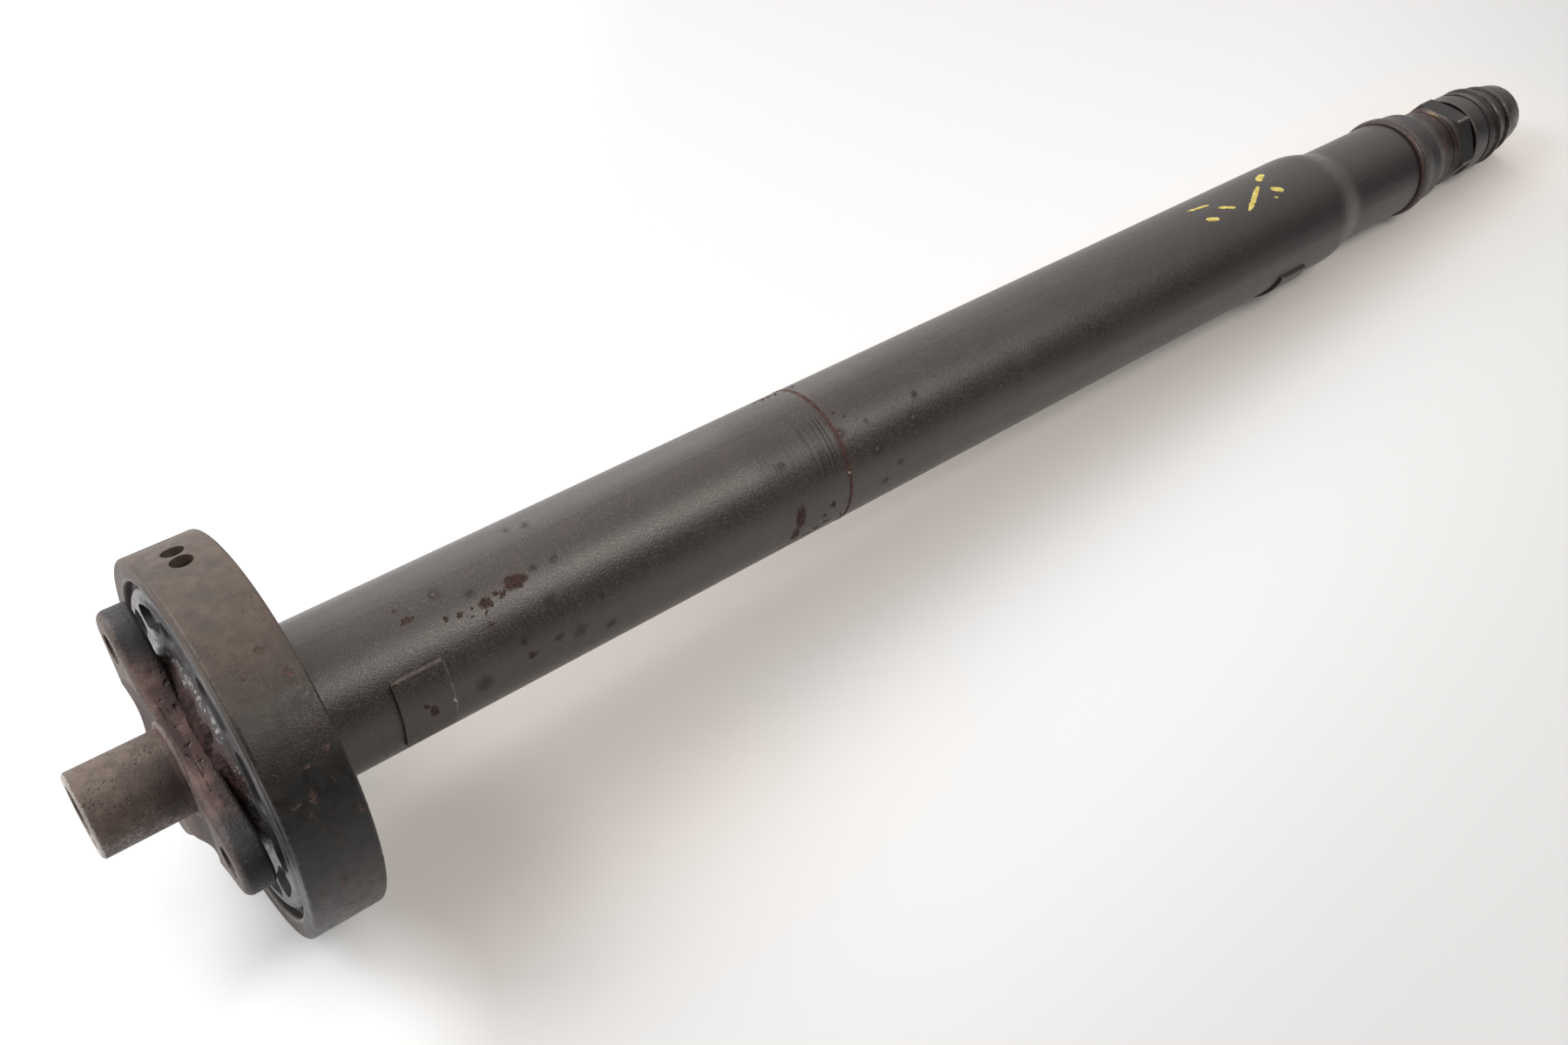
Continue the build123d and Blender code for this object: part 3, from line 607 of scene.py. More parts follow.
def forged_steel():
    """Forging skin: blue-black scale on the bosses, red-brown rust and cracks at the waist."""
    s = Surface("forged_steel")
    lumps = s.grain(75, 5)
    fine = s.grain(1000, 4)
    scale = s.mix(s.spread(lumps, *even), (0.0175, 0.0150, 0.0180), (0.0390, 0.0340, 0.0382))
    red = s.mottled(120, 4, even, (0.082, 0.0445, 0.0405), (0.172, 0.1010, 0.0890))
    # Painted shade: the scale is darker over the lower boss and underneath.
    scale = s.stain(scale, s.line(s.turn, *boss_shade_turn), 0.9, (0.0085, 0.0075, 0.0085))
    waist = s.shaken(s.radius, lumps, 0.014)
    base = s.mix(s.spread(waist, *waist_red_r), scale, red)
    speck = s.spread(s.grain(1300, 2), 0.60, 0.72)
    base = s.stain(base, speck, 0.25, (0.110, 0.084, 0.078))
    # Painted shade: the sides get darker towards the damper plate.
    shade = s.times(s.spread(s.x, *arm_side_x), s.spread(s.radius, *arm_side_r))
    base = s.stain(base, shade, 0.85, (0.0075, 0.0060, 0.0068))
    # Painted shade in the recess beside the hub.
    recess_shade = s.times(s.window(s.x, *hub_side_x), s.spread(s.radius, *hub_side_r))
    base = s.stain(base, recess_shade, 0.7, (0.026, 0.0140, 0.0130))
    # Long ragged cracks run round the waist between the arms.
    crack = s.line(s.drawn_out(190, 42, 5), 0.5, 0.005, 0.012)
    zone = s.times(s.spread(s.x, *waist_x), s.window(s.radius, *waist_r))
    crack = s.times(crack, zone, s.spread(s.grain(60, 2), 0.42, 0.52))
    gouge = s.spread(s.warped_cells(230), 0.28, 0.14)
    gouge = s.times(gouge, zone, s.spread(s.grain(70, 2), 0.48, 0.56))
    crack = s.highest([crack, gouge])
    base = s.stain(base, crack, 0.55, (0.012, 0.0065, 0.0062))
    # Painted highlights on the edges: the rims of the boss faces, the collar's lip and the
    # recess's lip.
    highlight_breaks = s.spread(s.grain(380, 4), 0.36, 0.56, 0.35, 1.0)
    boss_rim = s.times(s.spread(s.x, *boss_rim_x), s.spread(s.radius, *boss_rim_r))
    collar_lip = s.times(s.line(s.radius, *collar_lip_r), s.line(s.x, *collar_lip_x))
    recess_lip = s.times(s.spread(s.x, *recess_lip_x), s.spread(s.radius, *recess_lip_r))
    edge_highlights = s.times(s.highest([s.times(boss_rim, 0.6), collar_lip, recess_lip]), highlight_breaks)
    base = s.stain(base, edge_highlights, 0.75, (0.210, 0.160, 0.150))
    # The snout: warm brown with dark pits and a pale pitted bloom underneath.
    snout = s.spread(s.x, *snout_x)
    snout_tone = s.mottled(230, 5, (0.34, 0.66), (0.074, 0.0490, 0.0395), (0.118, 0.084, 0.0665))
    spots = s.spread(s.warped_cells(560), 0.30, 0.12)
    spots = s.times(spots, s.spread(s.grain(95, 3), 0.42, 0.56))
    snout_tone = s.stain(snout_tone, spots, 0.75, (0.042, 0.028, 0.024))
    pale = s.times(s.spread(s.grain(760, 5), 0.44, 0.60), s.line(s.turn, *snout_pale_turn))
    pale = s.times(pale, s.spread(s.grain(120, 3), 0.40, 0.56))
    snout_tone = s.stain(snout_tone, pale, 0.8, (0.25, 0.215, 0.205))
    shadow = s.times(s.spread(s.x, *snout_shadow_x), s.line(s.turn, *snout_shadow_turn))
    snout_tone = s.stain(snout_tone, shadow, 0.7, (0.030, 0.0185, 0.0165))
    base = s.mix(snout, base, snout_tone)
    rim = s.spread(s.plus(s.x, s.times(s.grain(500, 3), 0.0016)), *snout_rim_x)
    base = s.stain(base, rim, 0.85, (0.40, 0.365, 0.34))
    rough = s.sheen(fine, 0.48, 0.66)
    rough = s.calc("SUBTRACT", rough, s.times(rim, 0.15))
    normal = s.bump(lumps, 0.0012, 0.6)
    normal = s.bump(fine, 0.0003, 0.8, normal)
    normal = s.bump(s.highest([crack, s.times(spots, snout, 0.4)]), -0.0008, 1.0, normal)
    return s.finish(base, rough, normal, s.times(rim, 0.7), specular=0.45)


def carrier_steel():
    """Blue-grey pressed plate, flaked bright beside the hub, brown where dirt sits, and dark
    red-brown painted shade next to the hub.
    """
    s = Surface("carrier_steel")
    cloud = s.grain(60, 5)
    base = s.mix(s.spread(cloud, *even), (0.056, 0.0545, 0.057), (0.100, 0.0965, 0.099))
    dark = s.spread(s.grain(34, 3), 0.52, 0.64)
    base = s.stain(base, dark, 0.6, (0.035, 0.035, 0.036))
    flake = s.spread(s.grain(620, 5), 0.50, 0.58)
    inner = s.shaken(s.radius, s.grain(90, 3), 0.012)
    bright_marks = s.times(flake, s.spread(inner, *plate_worn_r), s.spread(s.grain(50, 2), 0.36, 0.50))
    base = s.stain(base, bright_marks, 0.9, (0.50, 0.49, 0.49))
    dirty = s.spread(s.radius, *plate_dirty_r, 0.15, 0.8)
    rust = s.times(s.spread(s.grain(170, 5), 0.56, 0.66), dirty)
    # Painted shade next to the hub, in the dark red-brown of the rust.
    rust = s.highest([rust, s.spread(inner, *plate_hub_r, 0, 0.95)])
    base = s.mix(rust, base, (0.062, 0.033, 0.030))
    rough = s.sheen(s.grain(300, 3), 0.32, 0.50)
    normal = s.bump(bright_marks, 0.00015, 0.8)
    normal = s.bump(s.grain(900, 3), 0.0001, 0.5, normal)
    return s.finish(base, rough, normal, s.times(bright_marks, 0.6), specular=0.5)


def weld_rust():
    """Red-brown rusted weld."""
    s = Surface("weld_rust")
    tone = s.mottled(420, 4, even, (0.030, 0.014, 0.012), (0.074, 0.037, 0.029))
    tone = s.mix(s.spread(s.grain(900, 2), 0.66, 0.74, 0, 0.6), tone, (0.13, 0.075, 0.055))
    glint = s.patch(s.unrolled(tube_r), *seam_glint, tube_r)
    tone = s.mix(glint, tone, (0.36, 0.31, 0.27))
    normal = s.bump(s.grain(700, 4), 0.0005, 0.9)
    return s.finish(tone, 0.62, normal, specular=0.2)


def rust_crust_and_shade():
    """Dark red crust with deep pits; its darkness also stands in for the shade in the gap, as
    painted shade.
    """
    s = Surface("rust_crust_and_shade")
    lumps = s.grain(260, 5)
    tone = s.mix(s.spread(lumps, 0.36, 0.64), (0.011, 0.0050, 0.0047), (0.046, 0.0225, 0.0200))
    tone = s.mix(s.spread(s.warped_cells(420), 0.26, 0.12), tone, (0.006, 0.0035, 0.0035))
    normal = s.bump(lumps, 0.0012, 1.0)
    normal = s.bump(s.grain(1100, 4), 0.0003, 0.8, normal)
    return s.finish(tone, 0.7, normal, specular=0.3)


def painted_weld():
    """Black paint over a weld bead, with rust creeping out of both toes and a painted highlight
    along its crest.
    """
    s = Surface("painted_weld")
    base = s.mottled(240, 4, even, (0.018, 0.015, 0.015), (0.034, 0.028, 0.027))
    place = s.shaken(s.x, s.grain(300, 4), 0.0022)
    front_toe = s.line(place, weld_low.x + 0.0006, 0.0006, 0.0006)
    rear_toe = s.line(place, weld_high.x - 0.0012, 0.0004, 0.0007)
    toes = s.highest([front_toe, rear_toe])
    patchy = s.spread(s.grain(90, 3), 0.36, 0.56, 0.35, 1.0)
    rust = s.mottled(700, 3, (0.4, 0.6), (0.026, 0.011, 0.010), (0.062, 0.026, 0.020))
    base = s.mix(s.times(toes, patchy), base, rust)
    # Painted highlight: a light line along the bead's crest.
    crest = s.line(place, weld_low.x + 0.0042, 0.0007, 0.0010)
    base = s.stain(base, crest, 0.45, (0.090, 0.066, 0.060))
    normal = s.bump(s.grain(800, 4), 0.0003, 0.8)
    return s.finish(base, s.sheen(s.grain(300, 3), 0.36, 0.52), normal, specular=0.5)


def sleeve_paint():
    """Black paint of the end sleeve, red-brown on its taper, bare inside and on its end face, with
    a painted highlight on the band's edge and painted shade behind the taper.
    """
    s = Surface("sleeve_paint")
    fine = s.grain(1400, 2)
    base = s.mottled(50, 3, even, (0.018, 0.0165, 0.016), (0.031, 0.028, 0.027))
    # Painted highlight: a thin light line on the band's rear edge.
    edge = s.line(s.x, band_end_x - 0.0007, 0.0003, 0.0004)
    edge = s.times(edge, s.spread(s.radius, *band_rim_r))
    base = s.stain(base, edge, 0.6, (0.13, 0.12, 0.115))
    drift = s.shaken(s.x, s.grain(130, 4), 0.010)
    taper = s.times(s.spread(drift, *taper_start_x), s.spread(s.x, *taper_end_x))
    rust = s.mottled(260, 4, (0.36, 0.64), (0.018, 0.0085, 0.0080), (0.052, 0.0260, 0.0230))
    base = s.stain(base, taper, 0.75, rust)
    # Painted shade: behind the taper, the side towards -Y and underneath is darker.
    taper_shade = s.times(s.spread(s.x, *taper_shade_x), s.spread(s.turn, *taper_shade_turn))
    base = s.stain(base, taper_shade, 0.65, (0.0070, 0.0055, 0.0055))
    # A golden patch lies on top, in front of the nut.
    ragged = s.warped(s.unrolled(sleeve_r), 620, 0.0035)
    golden = s.patch(ragged, *golden_patch, sleeve_r, soft=0.3)
    gold = s.mottled(900, 3, (0.4, 0.6), (0.085, 0.050, 0.026), (0.30, 0.20, 0.085))
    base = s.stain(base, golden, 0.9, gold)
    bright = s.spread(s.x, sleeve_end_x - 0.0015, sleeve_end_x - 0.0005)
    inner = s.highest([bright, s.spread(s.radius, sleeve_bore_r + 0.0005, sleeve_bore_r - 0.0005)])
    base = s.mix(inner, base, (0.34, 0.33, 0.31))
    rough = s.sheen(fine, 0.34, 0.46)
    normal = s.bump(fine, 0.00018, 0.6)
    gloss = s.spread(s.highest([taper, taper_shade]), 0, 1, 0.48, 0.22)
    return s.finish(base, rough, normal, s.times(inner, 0.8), specular=gloss)


def nut_steel():
    """Black oxide with painted highlights on its edges, painted shade in its groove and a rusty
    front face.
    """
    s = Surface("nut_steel")
    fine = s.grain(1200, 3)
    base = s.mottled(90, 4, even, (0.0150, 0.0140, 0.0140), (0.0270, 0.0250, 0.0245))
    flats = s.window(s.x, *nut_flats_x)
    base = s.stain(base, flats, 0.9, (0.0135, 0.0122, 0.0120))
    # Painted shade in the groove behind the hexagon.
    groove = s.line(s.x, hex_end_x + 0.0010, 0.0010, 0.0006)
    base = s.stain(base, groove, 0.8, (0.0040, 0.0036, 0.0036))
    face = s.times(s.spread(s.x, nut_x + 0.0016, nut_x), s.spread(s.grain(200, 4), 0.36, 0.58))
    base = s.stain(base, face, 0.8, (0.060, 0.030, 0.024))
    # Painted highlights on the hexagon's corners, the collar's edge and the lip.
    highlight_breaks = s.spread(s.grain(420, 4), 0.34, 0.54, 0.45, 1.0)
    corner = s.spread(s.x, hex_end_x + 0.001, hex_end_x)
    corner = s.times(corner, s.spread(s.radius, *hexagon_corner_r))
    collar_edge = s.line(s.x, hex_end_x + 0.0025, 0.0003, 0.0005)
    collar_edge = s.times(collar_edge, s.spread(s.radius, *nut_collar_r), 0.4)
    lip = s.times(s.line(s.x, nut_lip_x, 0.0003, 0.0004), s.spread(s.radius, *nut_lip_r))
    bright_marks = s.times(s.highest([corner, collar_edge, lip]), highlight_breaks)
    base = s.stain(base, bright_marks, 0.55, (0.20, 0.18, 0.17))
    rough = s.sheen(fine, 0.32, 0.44)
    normal = s.bump(fine, 0.00015, 0.6)
    gloss = s.spread(s.highest([flats, groove]), 0, 1, 0.55, 0.22)
    return s.finish(base, rough, normal, specular=gloss, tint=(1, 0.95, 0.93))


def boot_rubber():
    """Black rubber: oily between the ribs, dusty beside them, with painted highlights on the rib
    crests and painted shade in front of them.
    """
    s = Surface("boot_rubber")
    fine = s.grain(1700, 3)
    base = s.mottled(120, 4, (0.38, 0.62), (0.0140, 0.0098, 0.0097), (0.0245, 0.0176, 0.0170))
    dust = s.spread(s.drawn_out(1100, 70, 3), 0.52, 0.74, 0, 0.55)
    base = s.mix(dust, base, (0.060, 0.050, 0.047))
    # Painted highlights on the rib crests and painted shade just in front of each rib.
    crests = s.highest([s.line(s.x, x, 0.0003, 0.0005) for x in boot_lines])
    valleys = s.highest([s.line(s.x, x - 0.0024, 0.0006, 0.0010) for x in boot_lines])
    base = s.stain(base, valleys, 0.6, (0.004, 0.004, 0.004))
    base = s.stain(base, crests, 0.5, (0.090, 0.078, 0.074))
    oil = s.spread(s.drawn_out(420, 170, 4), 0.44, 0.56)
    rough = s.spread(oil, 0, 1, 0.44, 0.20)
    normal = s.bump(oil, 0.00012, 0.5)
    normal = s.bump(fine, 0.00012, 0.5, normal)
    return s.finish(base, rough, normal, specular=0.5, tint=(1, 0.92, 0.91))


def black_rubber():
    """Matt moulded rubber."""
    s = Surface("black_rubber")
    base = s.mottled(200, 3, even, (0.022, 0.021, 0.021), (0.040, 0.038, 0.037))
    normal = s.bump(s.grain(1500, 3), 0.0001, 0.5)
    return s.finish(base, s.sheen(s.grain(300, 2), 0.55, 0.75), normal)


def turned_steel():
    """Bright turned steel with fine rings from turning."""
    s = Surface("turned_steel")
    lathe = s.drawn_out(3000, 3)
    base = s.mottled(120, 3, even, (0.32, 0.315, 0.30), (0.46, 0.45, 0.43))
    normal = s.bump(lathe, 0.00006, 0.6)
    return s.finish(base, s.sheen(lathe, 0.28, 0.42), normal, 0.9)


def bronze():
    """Bronze bush with turning marks."""
    s = Surface("bronze")
    lathe = s.drawn_out(3000, 3)
    base = s.mottled(160, 3, even, (0.42, 0.27, 0.11), (0.58, 0.40, 0.19))
    normal = s.bump(lathe, 0.00005, 0.6)
    return s.finish(base, s.sheen(lathe, 0.3, 0.45), normal, 0.9)


def felt():
    """Grey-brown felt soaked with grease."""
    s = Surface("felt")
    hair = s.grain(1300, 5)
    base = s.mix(s.spread(hair, *even), (0.10, 0.085, 0.065), (0.20, 0.175, 0.14))
    return s.finish(base, 0.85, s.bump(hair, 0.0004, 0.8))


def yellow_paint():
    """Brushed yellow paint, thin and broken at the ends of the strokes."""
    s = Surface("yellow_paint")
    streaks = s.grain(380, 4)
    base = s.mix(s.spread(streaks, 0.35, 0.7), (0.38, 0.300, 0.045), (0.60, 0.500, 0.150))
    height = s.shaken(s.calc("SUBTRACT", s.radius, tube_r), s.grain(900, 4), 0.00016)
    base = s.mix(s.spread(height, 0.00013, 0.00005), base, (0.30, 0.25, 0.07))
    base = s.mix(s.spread(height, 0.00006, 0.00001), base, (0.070, 0.060, 0.035))
    return s.finish(base, 0.5, s.bump(streaks, 0.0002, 0.7))


paint = tube_paint()
weld = weld_rust()
bead_paint = painted_weld()
turned = turned_steel()
looks = (
    (forged_steel(), ("front_flange",)),
    (ring_steel(), ("damper_ring",)),
    (carrier_steel(), ("damper_carrier",)),
    (paint, ("front_tube", "rear_tube", "front_balance_weight", "rear_balance_weight")),
    (weld, ("front_weld", "seam_weld")),
    (bead_paint, ("rear_weld",)),
    (sleeve_paint(), ("end_sleeve",)),
    (nut_steel(), ("clamp_nut", "boot_clip")),
    (boot_rubber(), ("boot",)),
    (felt(), ("seal_ring",)),
    (bronze(), ("centring_liner",)),
    (black_rubber(), ("centring_rubber", "centring_seal", "damper_rubber")),
    (turned, ("centring_shell", "grease_plug", "seam_sleeve", "core_plug", "clamping_ring")),
)
for look, nodes in looks:
    for node in nodes:
        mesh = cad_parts[node].data
        mesh.materials.clear()
        mesh.materials.append(look)


def mesh_piece(name, points, faces, body, slot, material, smooth=True):
    """A new piece from points and faces that rides on a body."""
    mesh = bpy.data.meshes.new(name)
    mesh.from_pydata([tuple(p) for p in points], [], faces)
    mesh.materials.append(material)
    for face in mesh.polygons:
        face.use_smooth = smooth
    piece = bpy.data.objects.new(name, mesh)
    bpy.context.scene.collection.objects.link(piece)
    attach(piece, body)
    return piece


def on_shaft(x, arc, height, radius):
    """Point above the unrolled shaft: station mm, arc length mm and height mm over a radius."""
    return on_surface(x * MM, math.degrees(arc * MM / radius), radius + height * MM)


def wander(x, y, seed, scale):
    """Smooth seeded noise from -1 to 1."""
    return noise.noise(Vector((x * scale, y * scale, seed)))


def grid_faces(rows, row_length):
    """Four-cornered faces between the rows of an open grid of points."""
    faces = []
    for i in range(rows - 1):
        for j in range(row_length - 1):
            a = i * row_length + j
            faces.append((a, a + 1, a + row_length + 1, a + row_length))
    return faces


# Dabs of paint: steps along and lanes across, then heights in mm
stroke_steps = 30
stroke_lanes = 8
stroke_rim_height = -0.05
stroke_edge_height = 0.06
stroke_crown = 0.14


def brush_stroke(path, width, seed):
    """Points and faces of one thin dab of paint; its path is in station mm and arc mm."""
    points = []
    for i in range(stroke_steps + 1):
        share = i / stroke_steps
        along = share * (len(path) - 1)
        k = min(int(along), len(path) - 2)
        start, end = Vector(path[k]), Vector(path[k + 1])
        middle = start.lerp(end, along - k)
        side = Vector((start.y - end.y, end.x - start.x)).normalized()
        taper = min(1, 4.5 * share + 0.25, 4.5 * (1 - share) + 0.25)
        half = 0.5 * width * taper * (1 + 0.55 * wander(i, 0, seed, 0.45))
        for j in range(stroke_lanes + 1):
            across = 2 * j / stroke_lanes - 1
            spot = middle + side * (across * half + 0.45 * wander(i, j, seed + 5, 0.7))
            crown = stroke_crown * (1 - across ** 4) * (1 + 0.5 * wander(i, j, seed + 9, 1.3))
            at_rim = j in (0, stroke_lanes) or i in (0, stroke_steps)
            height = stroke_rim_height if at_rim else stroke_edge_height + crown
            points.append(on_shaft(spot.x, spot.y, height, tube_r))
    return points, grid_faces(stroke_steps + 1, stroke_lanes + 1)


def ring_strip(profile, count, shift_at):
    """A closed strip round the shaft, from a profile of stations and radii in metres.

    shift_at(angle, across) gives each point's shift along the shaft and away from it.
    """
    points = []
    for i in range(count):
        for j, (x, radius) in enumerate(profile):
            shift, lift = shift_at(i / count * 360, j / (len(profile) - 1))
            points.append(on_surface(x + shift, i / count * 360, radius + lift))
    wide = len(profile)
    faces = []
    for i in range(count):
        for j in range(wide - 1):
            a, b = i * wide + j, (i + 1) % count * wide + j
            faces.append((a, b, b + 1, a + 1))
    return points, faces


def joined(parts):
    """Several point and face lists as one."""
    points, faces = [], []
    for more_points, more_faces in parts:
        base = len(points)
        points += more_points
        faces += [tuple(base + k for k in face) for face in more_faces]
    return points, faces


def add_paint_marks():
    """Plain dabs of yellow paint on the rear tube."""
    parts = [brush_stroke(path, width, seed) for seed, (path, width) in enumerate(paint_marks)]
    mesh_piece("paint_marks", *joined(parts), "shaft", "tube_paint", yellow_paint())


def round_noise(angle, across, scale, across_scale):
    """Noise from -1 to 1 that closes on itself round the shaft."""
    turn = math.radians(angle)
    ring = (math.cos(turn) * scale, math.sin(turn) * scale)
    return noise.noise(Vector((*ring, across * across_scale)))


# Drops of weld: points in a ring, rings, height as a share of width, mm sunk at the rim
drop_sides = 10
drop_rings = 3
drop_rise = 0.36
drop_sunk = 0.08


def drop(x, angle, width, seed):
    """Low round drop on the tube: station mm, angle and width mm."""
    arc = math.radians(angle) * tube_r / MM
    points = [on_shaft(x, arc, drop_rise * width, tube_r)]
    for i in range(1, drop_rings + 1):
        share = i / drop_rings
        height = drop_rise * width * (1 - share * share)
        if i == drop_rings:
            height -= drop_sunk
        for j in range(drop_sides):
            turn = 2 * math.pi * j / drop_sides
            over, beside = math.cos(turn), math.sin(turn)
            reach = 0.5 * width * share * (1 + 0.3 * wander(2 * over, 2 * beside, seed, 1.0))
            points.append(on_shaft(x + reach * over, arc + reach * beside, height, tube_r))
    faces = [(0, 1 + (j + 1) % drop_sides, 1 + j) for j in range(drop_sides)]
    for i in range(drop_rings - 1):
        for j in range(drop_sides):
            a, b = 1 + i * drop_sides + j, 1 + i * drop_sides + (j + 1) % drop_sides
            faces.append((a, b, b + drop_sides, a + drop_sides))
    return points, faces


def add_flange_crust():
    """Rough rusty fillet between the flange's back edge and the damper plate, made dark so that it
    also fills the shaded gap there as painted shade.
    """
    profile = [(x * MM, radius * MM) for x, radius in crust_profile]

    def roughen(angle, across):
        if across in (0, 1):
            return 0, 0
        coarse = round_noise(angle, across, 7, 1.5)
        fine = round_noise(angle, across, 30, 6)
        return -0.0004 * coarse - 0.0003 * fine, 0.0006 * coarse + 0.0003 * fine

    crust = ring_strip(profile, 480, roughen)
    mesh_piece("flange_crust_and_shade", *crust, "shaft", "forged_steel", rust_crust_and_shade())


# The bead on the seam, across its width: shares of half the weld's width
seam_bead_shares = (-1.25, -0.95, -0.6, -0.25, 0.0, 0.25, 0.6, 0.95, 1.25)


def add_seam_bead():
    """Rough rusted bead on the seam, with a few spatters of weld."""
    low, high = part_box("seam_weld")
    half = (high.x - low.x) / 2
    rise = high.z - tube_r
    profile = [(seam_x + k * half, tube_r + max(0.0, 1 - k * k) * rise) for k in seam_bead_shares]

    def roughen(angle, across):
        wave = 0.00035 * round_noise(angle, 0, 12, 1)
        if abs(2 * across - 1) >= 0.95:
            return wave, -0.0001
        return wave, 0.00006 + 0.00022 * round_noise(angle, across, 27, 4)

    parts = [ring_strip(profile, 360, roughen)]
    parts += [drop(*place, seed) for seed, place in enumerate(seam_spatters)]
    mesh_piece("seam_bead", *joined(parts), "shaft", "weld_steel", weld)


# The bead behind the neck: ripples round it, bow of a ripple, and shares of the weld's width
ripple_count = 88
ripple_bow = 0.55
rear_bead_start = 0.06
rear_bead_share = 0.80
rear_bead_steps = 12
rear_bead_rise = 0.0016


def add_rear_bead():
    """Ripples of the weld behind the neck."""
    wide = weld_high.x - weld_low.x
    profile = []
    for k in range(rear_bead_steps + 1):
        share = k / rear_bead_steps
        x = weld_low.x + (rear_bead_start + rear_bead_share * share) * wide
        profile.append((x, weld_high.z - rear_bead_rise * (2 * share - 1) ** 2))

    def roughen(angle, across):
        edge = abs(2 * across - 1)
        phase = angle * ripple_count / 360 + ripple_bow * (1 - edge * edge)
        ripple = abs(math.sin(math.pi * phase))
        uneven = round_noise(angle, across, 9, 2)
        if edge >= 0.99:
            return 0.0002 * uneven, -0.0003
        return 0.0002 * uneven, 0.00010 + 0.00016 * ripple + 0.00012 * uneven

    bead = ring_strip(profile, 8 * ripple_count, roughen)
    mesh_piece("rear_bead", *bead, "shaft", "weld_steel", bead_paint)


# The thread's ridge: shares of the pitch along the shaft, with 1 at the crest
thread_ridge = ((-0.44, 0), (-0.06, 1), (0.06, 1), (0.44, 0))
thread_points_per_turn = 60
thread_sunk = 0.00003


def add_thread():
    """Helical ridge on the end sleeve's thread."""
    turns = (thread_high_x - thread_low_x) / thread_pitch
    count = int(turns * thread_points_per_turn)
    points = []
    for i in range(count + 1):
        along = i / thread_points_per_turn
        fade = max(0.0, min(1, along * 2, (turns - along) * 2))
        height = fade * (thread_top_r - thread_root_r)
        for shift, crest in thread_ridge:
            x = thread_low_x + thread_pitch * (along + shift)
            radius = thread_root_r + (height if crest else -thread_sunk)
            points.append(on_surface(x, 360 * along, radius))
    faces = grid_faces(count + 1, len(thread_ridge))
    mesh_piece("sleeve_thread", points, faces, "shaft", "sleeve_steel", turned, smooth=False)


def floor_frame():
    """Start and lean of the plane that touches the damper ring's rear edge and the boot."""
    start = Vector((ring_high.x, 0, -ring_r))
    boot_points = [v.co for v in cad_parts["boot"].data.vertices]
    slope = min((p.z - start.z) / (p.x - start.x) for p in boot_points)
    return start, math.atan(slope)


def floor_surface():
    """Pale floor that the camera sees fade to white far off and towards -X.

    Reflections see it dark beyond -Y.
    """
    s = Surface("floor")
    paths = s.add("ShaderNodeLightPath")
    camera_ray, glossy_ray = paths.outputs["Is Camera Ray"], paths.outputs["Is Glossy Ray"]

    def near(place, reach, most):
        return s.spread(s.vector("DISTANCE", s.place, place), *reach, 0, most)

    # Painted shade: the floor darkens far off towards +X and -Y, and in front towards -Y.
    aside = s.calc("SUBTRACT", s.times(s.x, 0.77), s.times(s.y, 1.30))
    tone = s.mix(s.spread(aside, *floor_far_zone), floor_colour, floor_far_colour)
    tone = s.mix(s.spread(s.y, *floor_front_y), tone, floor_front_colour)
    # Painted warm tint of the shadow beside the shaft, and further out beside the ring.
    wide = s.times(s.spread(s.y, *floor_wide_warm_y), s.spread(s.x, *floor_wide_warm_x))
    warm = s.highest([s.spread(s.y, *floor_warm_y), wide])
    warm = s.times(warm, s.spread(s.y, *floor_behind_y), s.window(s.x, *floor_warm_x))
    tone = s.mix(warm, tone, floor_warm_colour)
    shaded = near(floor_shaded_place, floor_shaded_reach, floor_shaded_most)
    tone = s.mix(shaded, tone, floor_shaded_colour)
    unseen = s.times(glossy_ray, s.spread(s.y, *floor_dark_y))
    s.finish(s.mix(unseen, tone, floor_dark), 0.9, specular=0.1)
    # The glow.
    across = s.calc("SUBTRACT", s.times(s.x, 0.77), s.times(s.y, 0.63))
    bright = near(floor_bright_place, floor_bright_reach, floor_bright_most)
    glow = s.highest([s.spread(across, *floor_glow_zone, *floor_glow), bright])
    glow = s.times(glow, s.calc("MAXIMUM", camera_ray, glossy_ray))
    away = s.vector("DISTANCE", s.place, ((cad_box[0].x + cad_box[1].x) / 2, 0, 0))
    far_glow = s.times(camera_ray, s.spread(away, *floor_fade))
    s.shader.inputs["Emission Color"].default_value = (1, 1, 1, 1)
    s.link(s.highest([glow, far_glow]), s.shader.inputs["Emission Strength"])
    return s.material


def make_floor():
    """The floor as a stage for the shaft."""
    start, lean = floor_frame()
    bpy.ops.mesh.primitive_plane_add(size=floor_size)
    floor = bpy.context.object
    floor.name = "floor"
    floor.data.transform(Matrix.Translation(start) @ Matrix.Rotation(-lean, 4, "Y"))
    floor.data.materials.append(floor_surface())


def area_light(name, place, size, power, colour=light_colour, target=main_target):
    """A rectangular light that faces a target."""
    lamp = bpy.data.lights.new(name, "AREA")
    lamp.shape = "RECTANGLE"
    lamp.size, lamp.size_y = size
    lamp.energy = power
    lamp.color = colour
    holder = bpy.data.objects.new(name, lamp)
    holder.location = place
    holder.rotation_euler = (Vector(target) - Vector(place)).to_track_quat("-Z", "Y").to_euler()
    bpy.context.scene.collection.objects.link(holder)


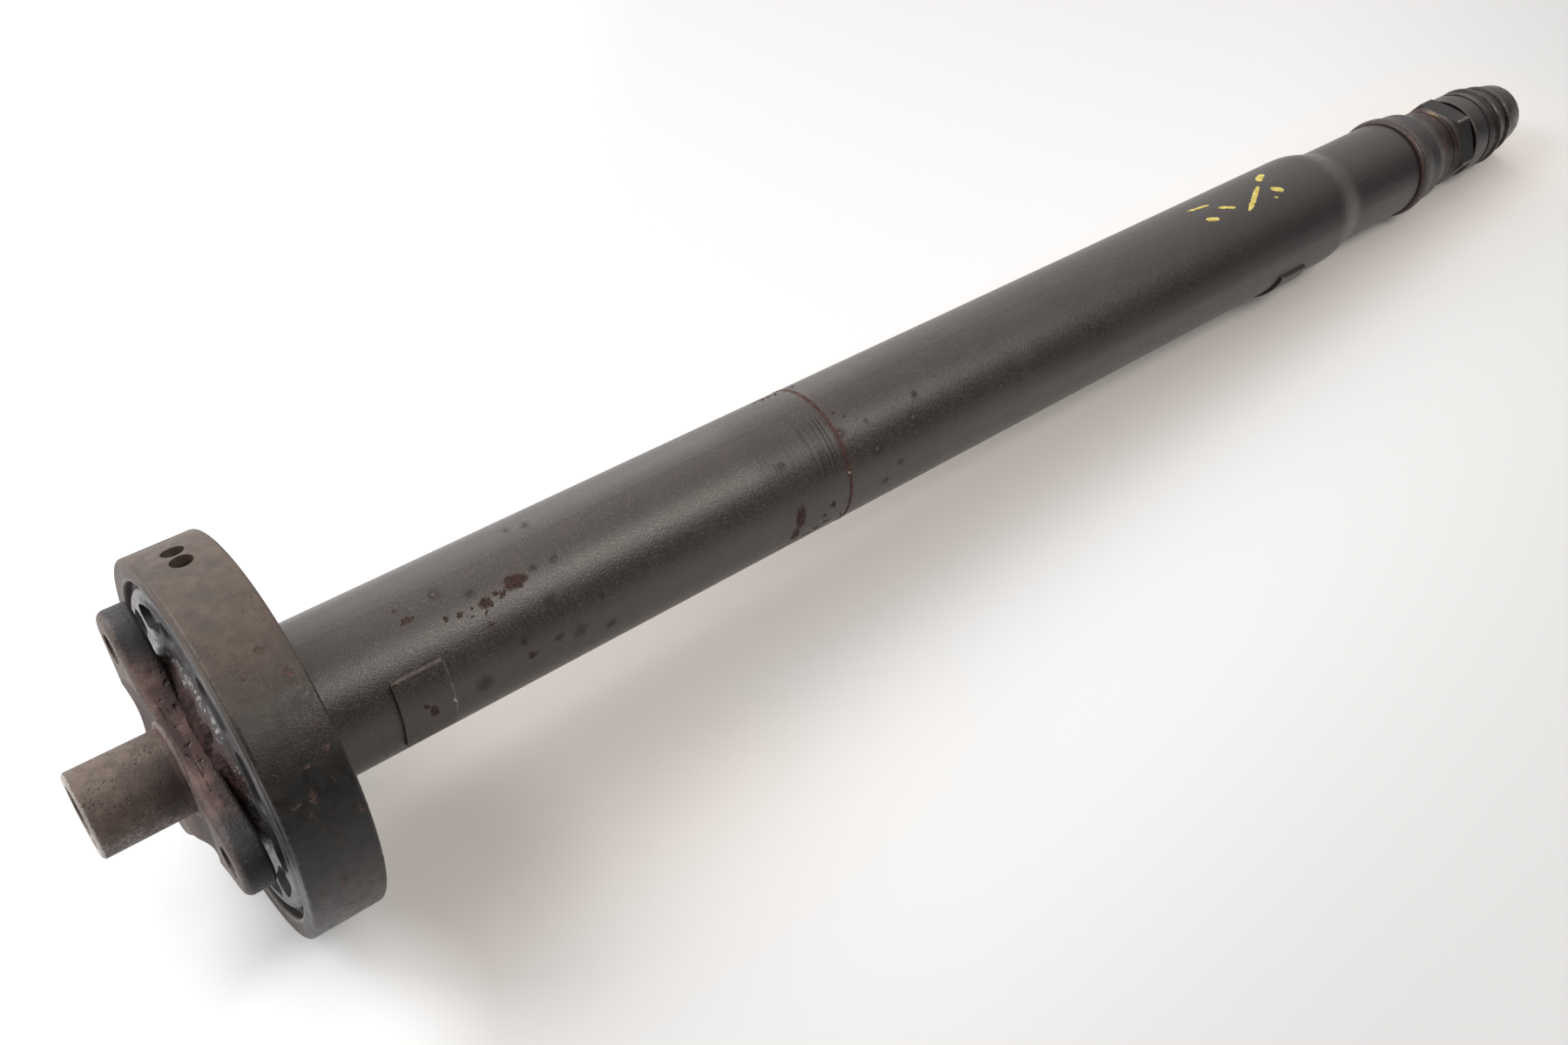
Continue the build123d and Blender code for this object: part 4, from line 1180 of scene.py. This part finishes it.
def make_world():
    """Soft room, bright behind and above the shaft and dark towards -Y.

    The camera sees it white.
    """
    world = bpy.data.worlds.new("studio")
    world.use_nodes = True
    nodes, links = world.node_tree.nodes, world.node_tree.links
    background = nodes["Background"]
    seen = nodes.new("ShaderNodeLightPath").outputs["Is Camera Ray"]

    tint = nodes.new("ShaderNodeMix")
    tint.data_type = "RGBA"
    tint.inputs[mix_first].default_value = (*sky_colour, 1)
    tint.inputs[mix_second].default_value = (1, 1, 1, 1)
    links.new(seen, tint.inputs[mix_amount])
    links.new(tint.outputs[mix_result], background.inputs["Color"])

    lean = math.radians(sky_lean)
    facing = nodes.new("ShaderNodeVectorMath")
    facing.operation = "DOT_PRODUCT"
    facing.inputs[1].default_value = (0, math.sin(lean), math.cos(lean))
    links.new(nodes.new("ShaderNodeTexCoord").outputs["Generated"], facing.inputs[0])
    level = nodes.new("ShaderNodeMapRange")
    level.inputs["To Min"].default_value = sky_low
    level.inputs["To Max"].default_value = sky_high
    links.new(facing.outputs["Value"], level.inputs["Value"])
    strength = nodes.new("ShaderNodeMath")
    strength.operation = "MAXIMUM"
    links.new(seen, strength.inputs[0])
    links.new(level.outputs["Result"], strength.inputs[1])
    links.new(strength.outputs[0], background.inputs["Strength"])
    bpy.context.scene.world = world


def make_camera():
    """The photograph's camera, from its place and two of its axes."""
    camera = bpy.data.cameras.new("camera")
    camera.sensor_width = sensor_width_mm
    camera.lens = sensor_width_mm * focal_px / photo_width_px
    camera.clip_start = 0.01
    holder = bpy.data.objects.new("camera", camera)
    right = Vector(camera_right).normalized()
    back = -Vector(camera_forward).normalized()
    up = back.cross(right).normalized()
    right = up.cross(back)
    turn = Matrix((right, up, back)).transposed().to_4x4()
    holder.matrix_world = Matrix.Translation(camera_place) @ turn
    bpy.context.scene.collection.objects.link(holder)
    bpy.context.scene.camera = holder


add_paint_marks()
add_flange_crust()
add_seam_bead()
add_rear_bead()
add_thread()
make_floor()
make_world()
area_light("key", key_place, key_size, key_power)
area_light("back", back_place, back_size, back_power)
area_light("top", top_place, top_size, top_power, top_colour, top_target)
make_camera()
bpy.context.scene.view_settings.view_transform = "Standard"
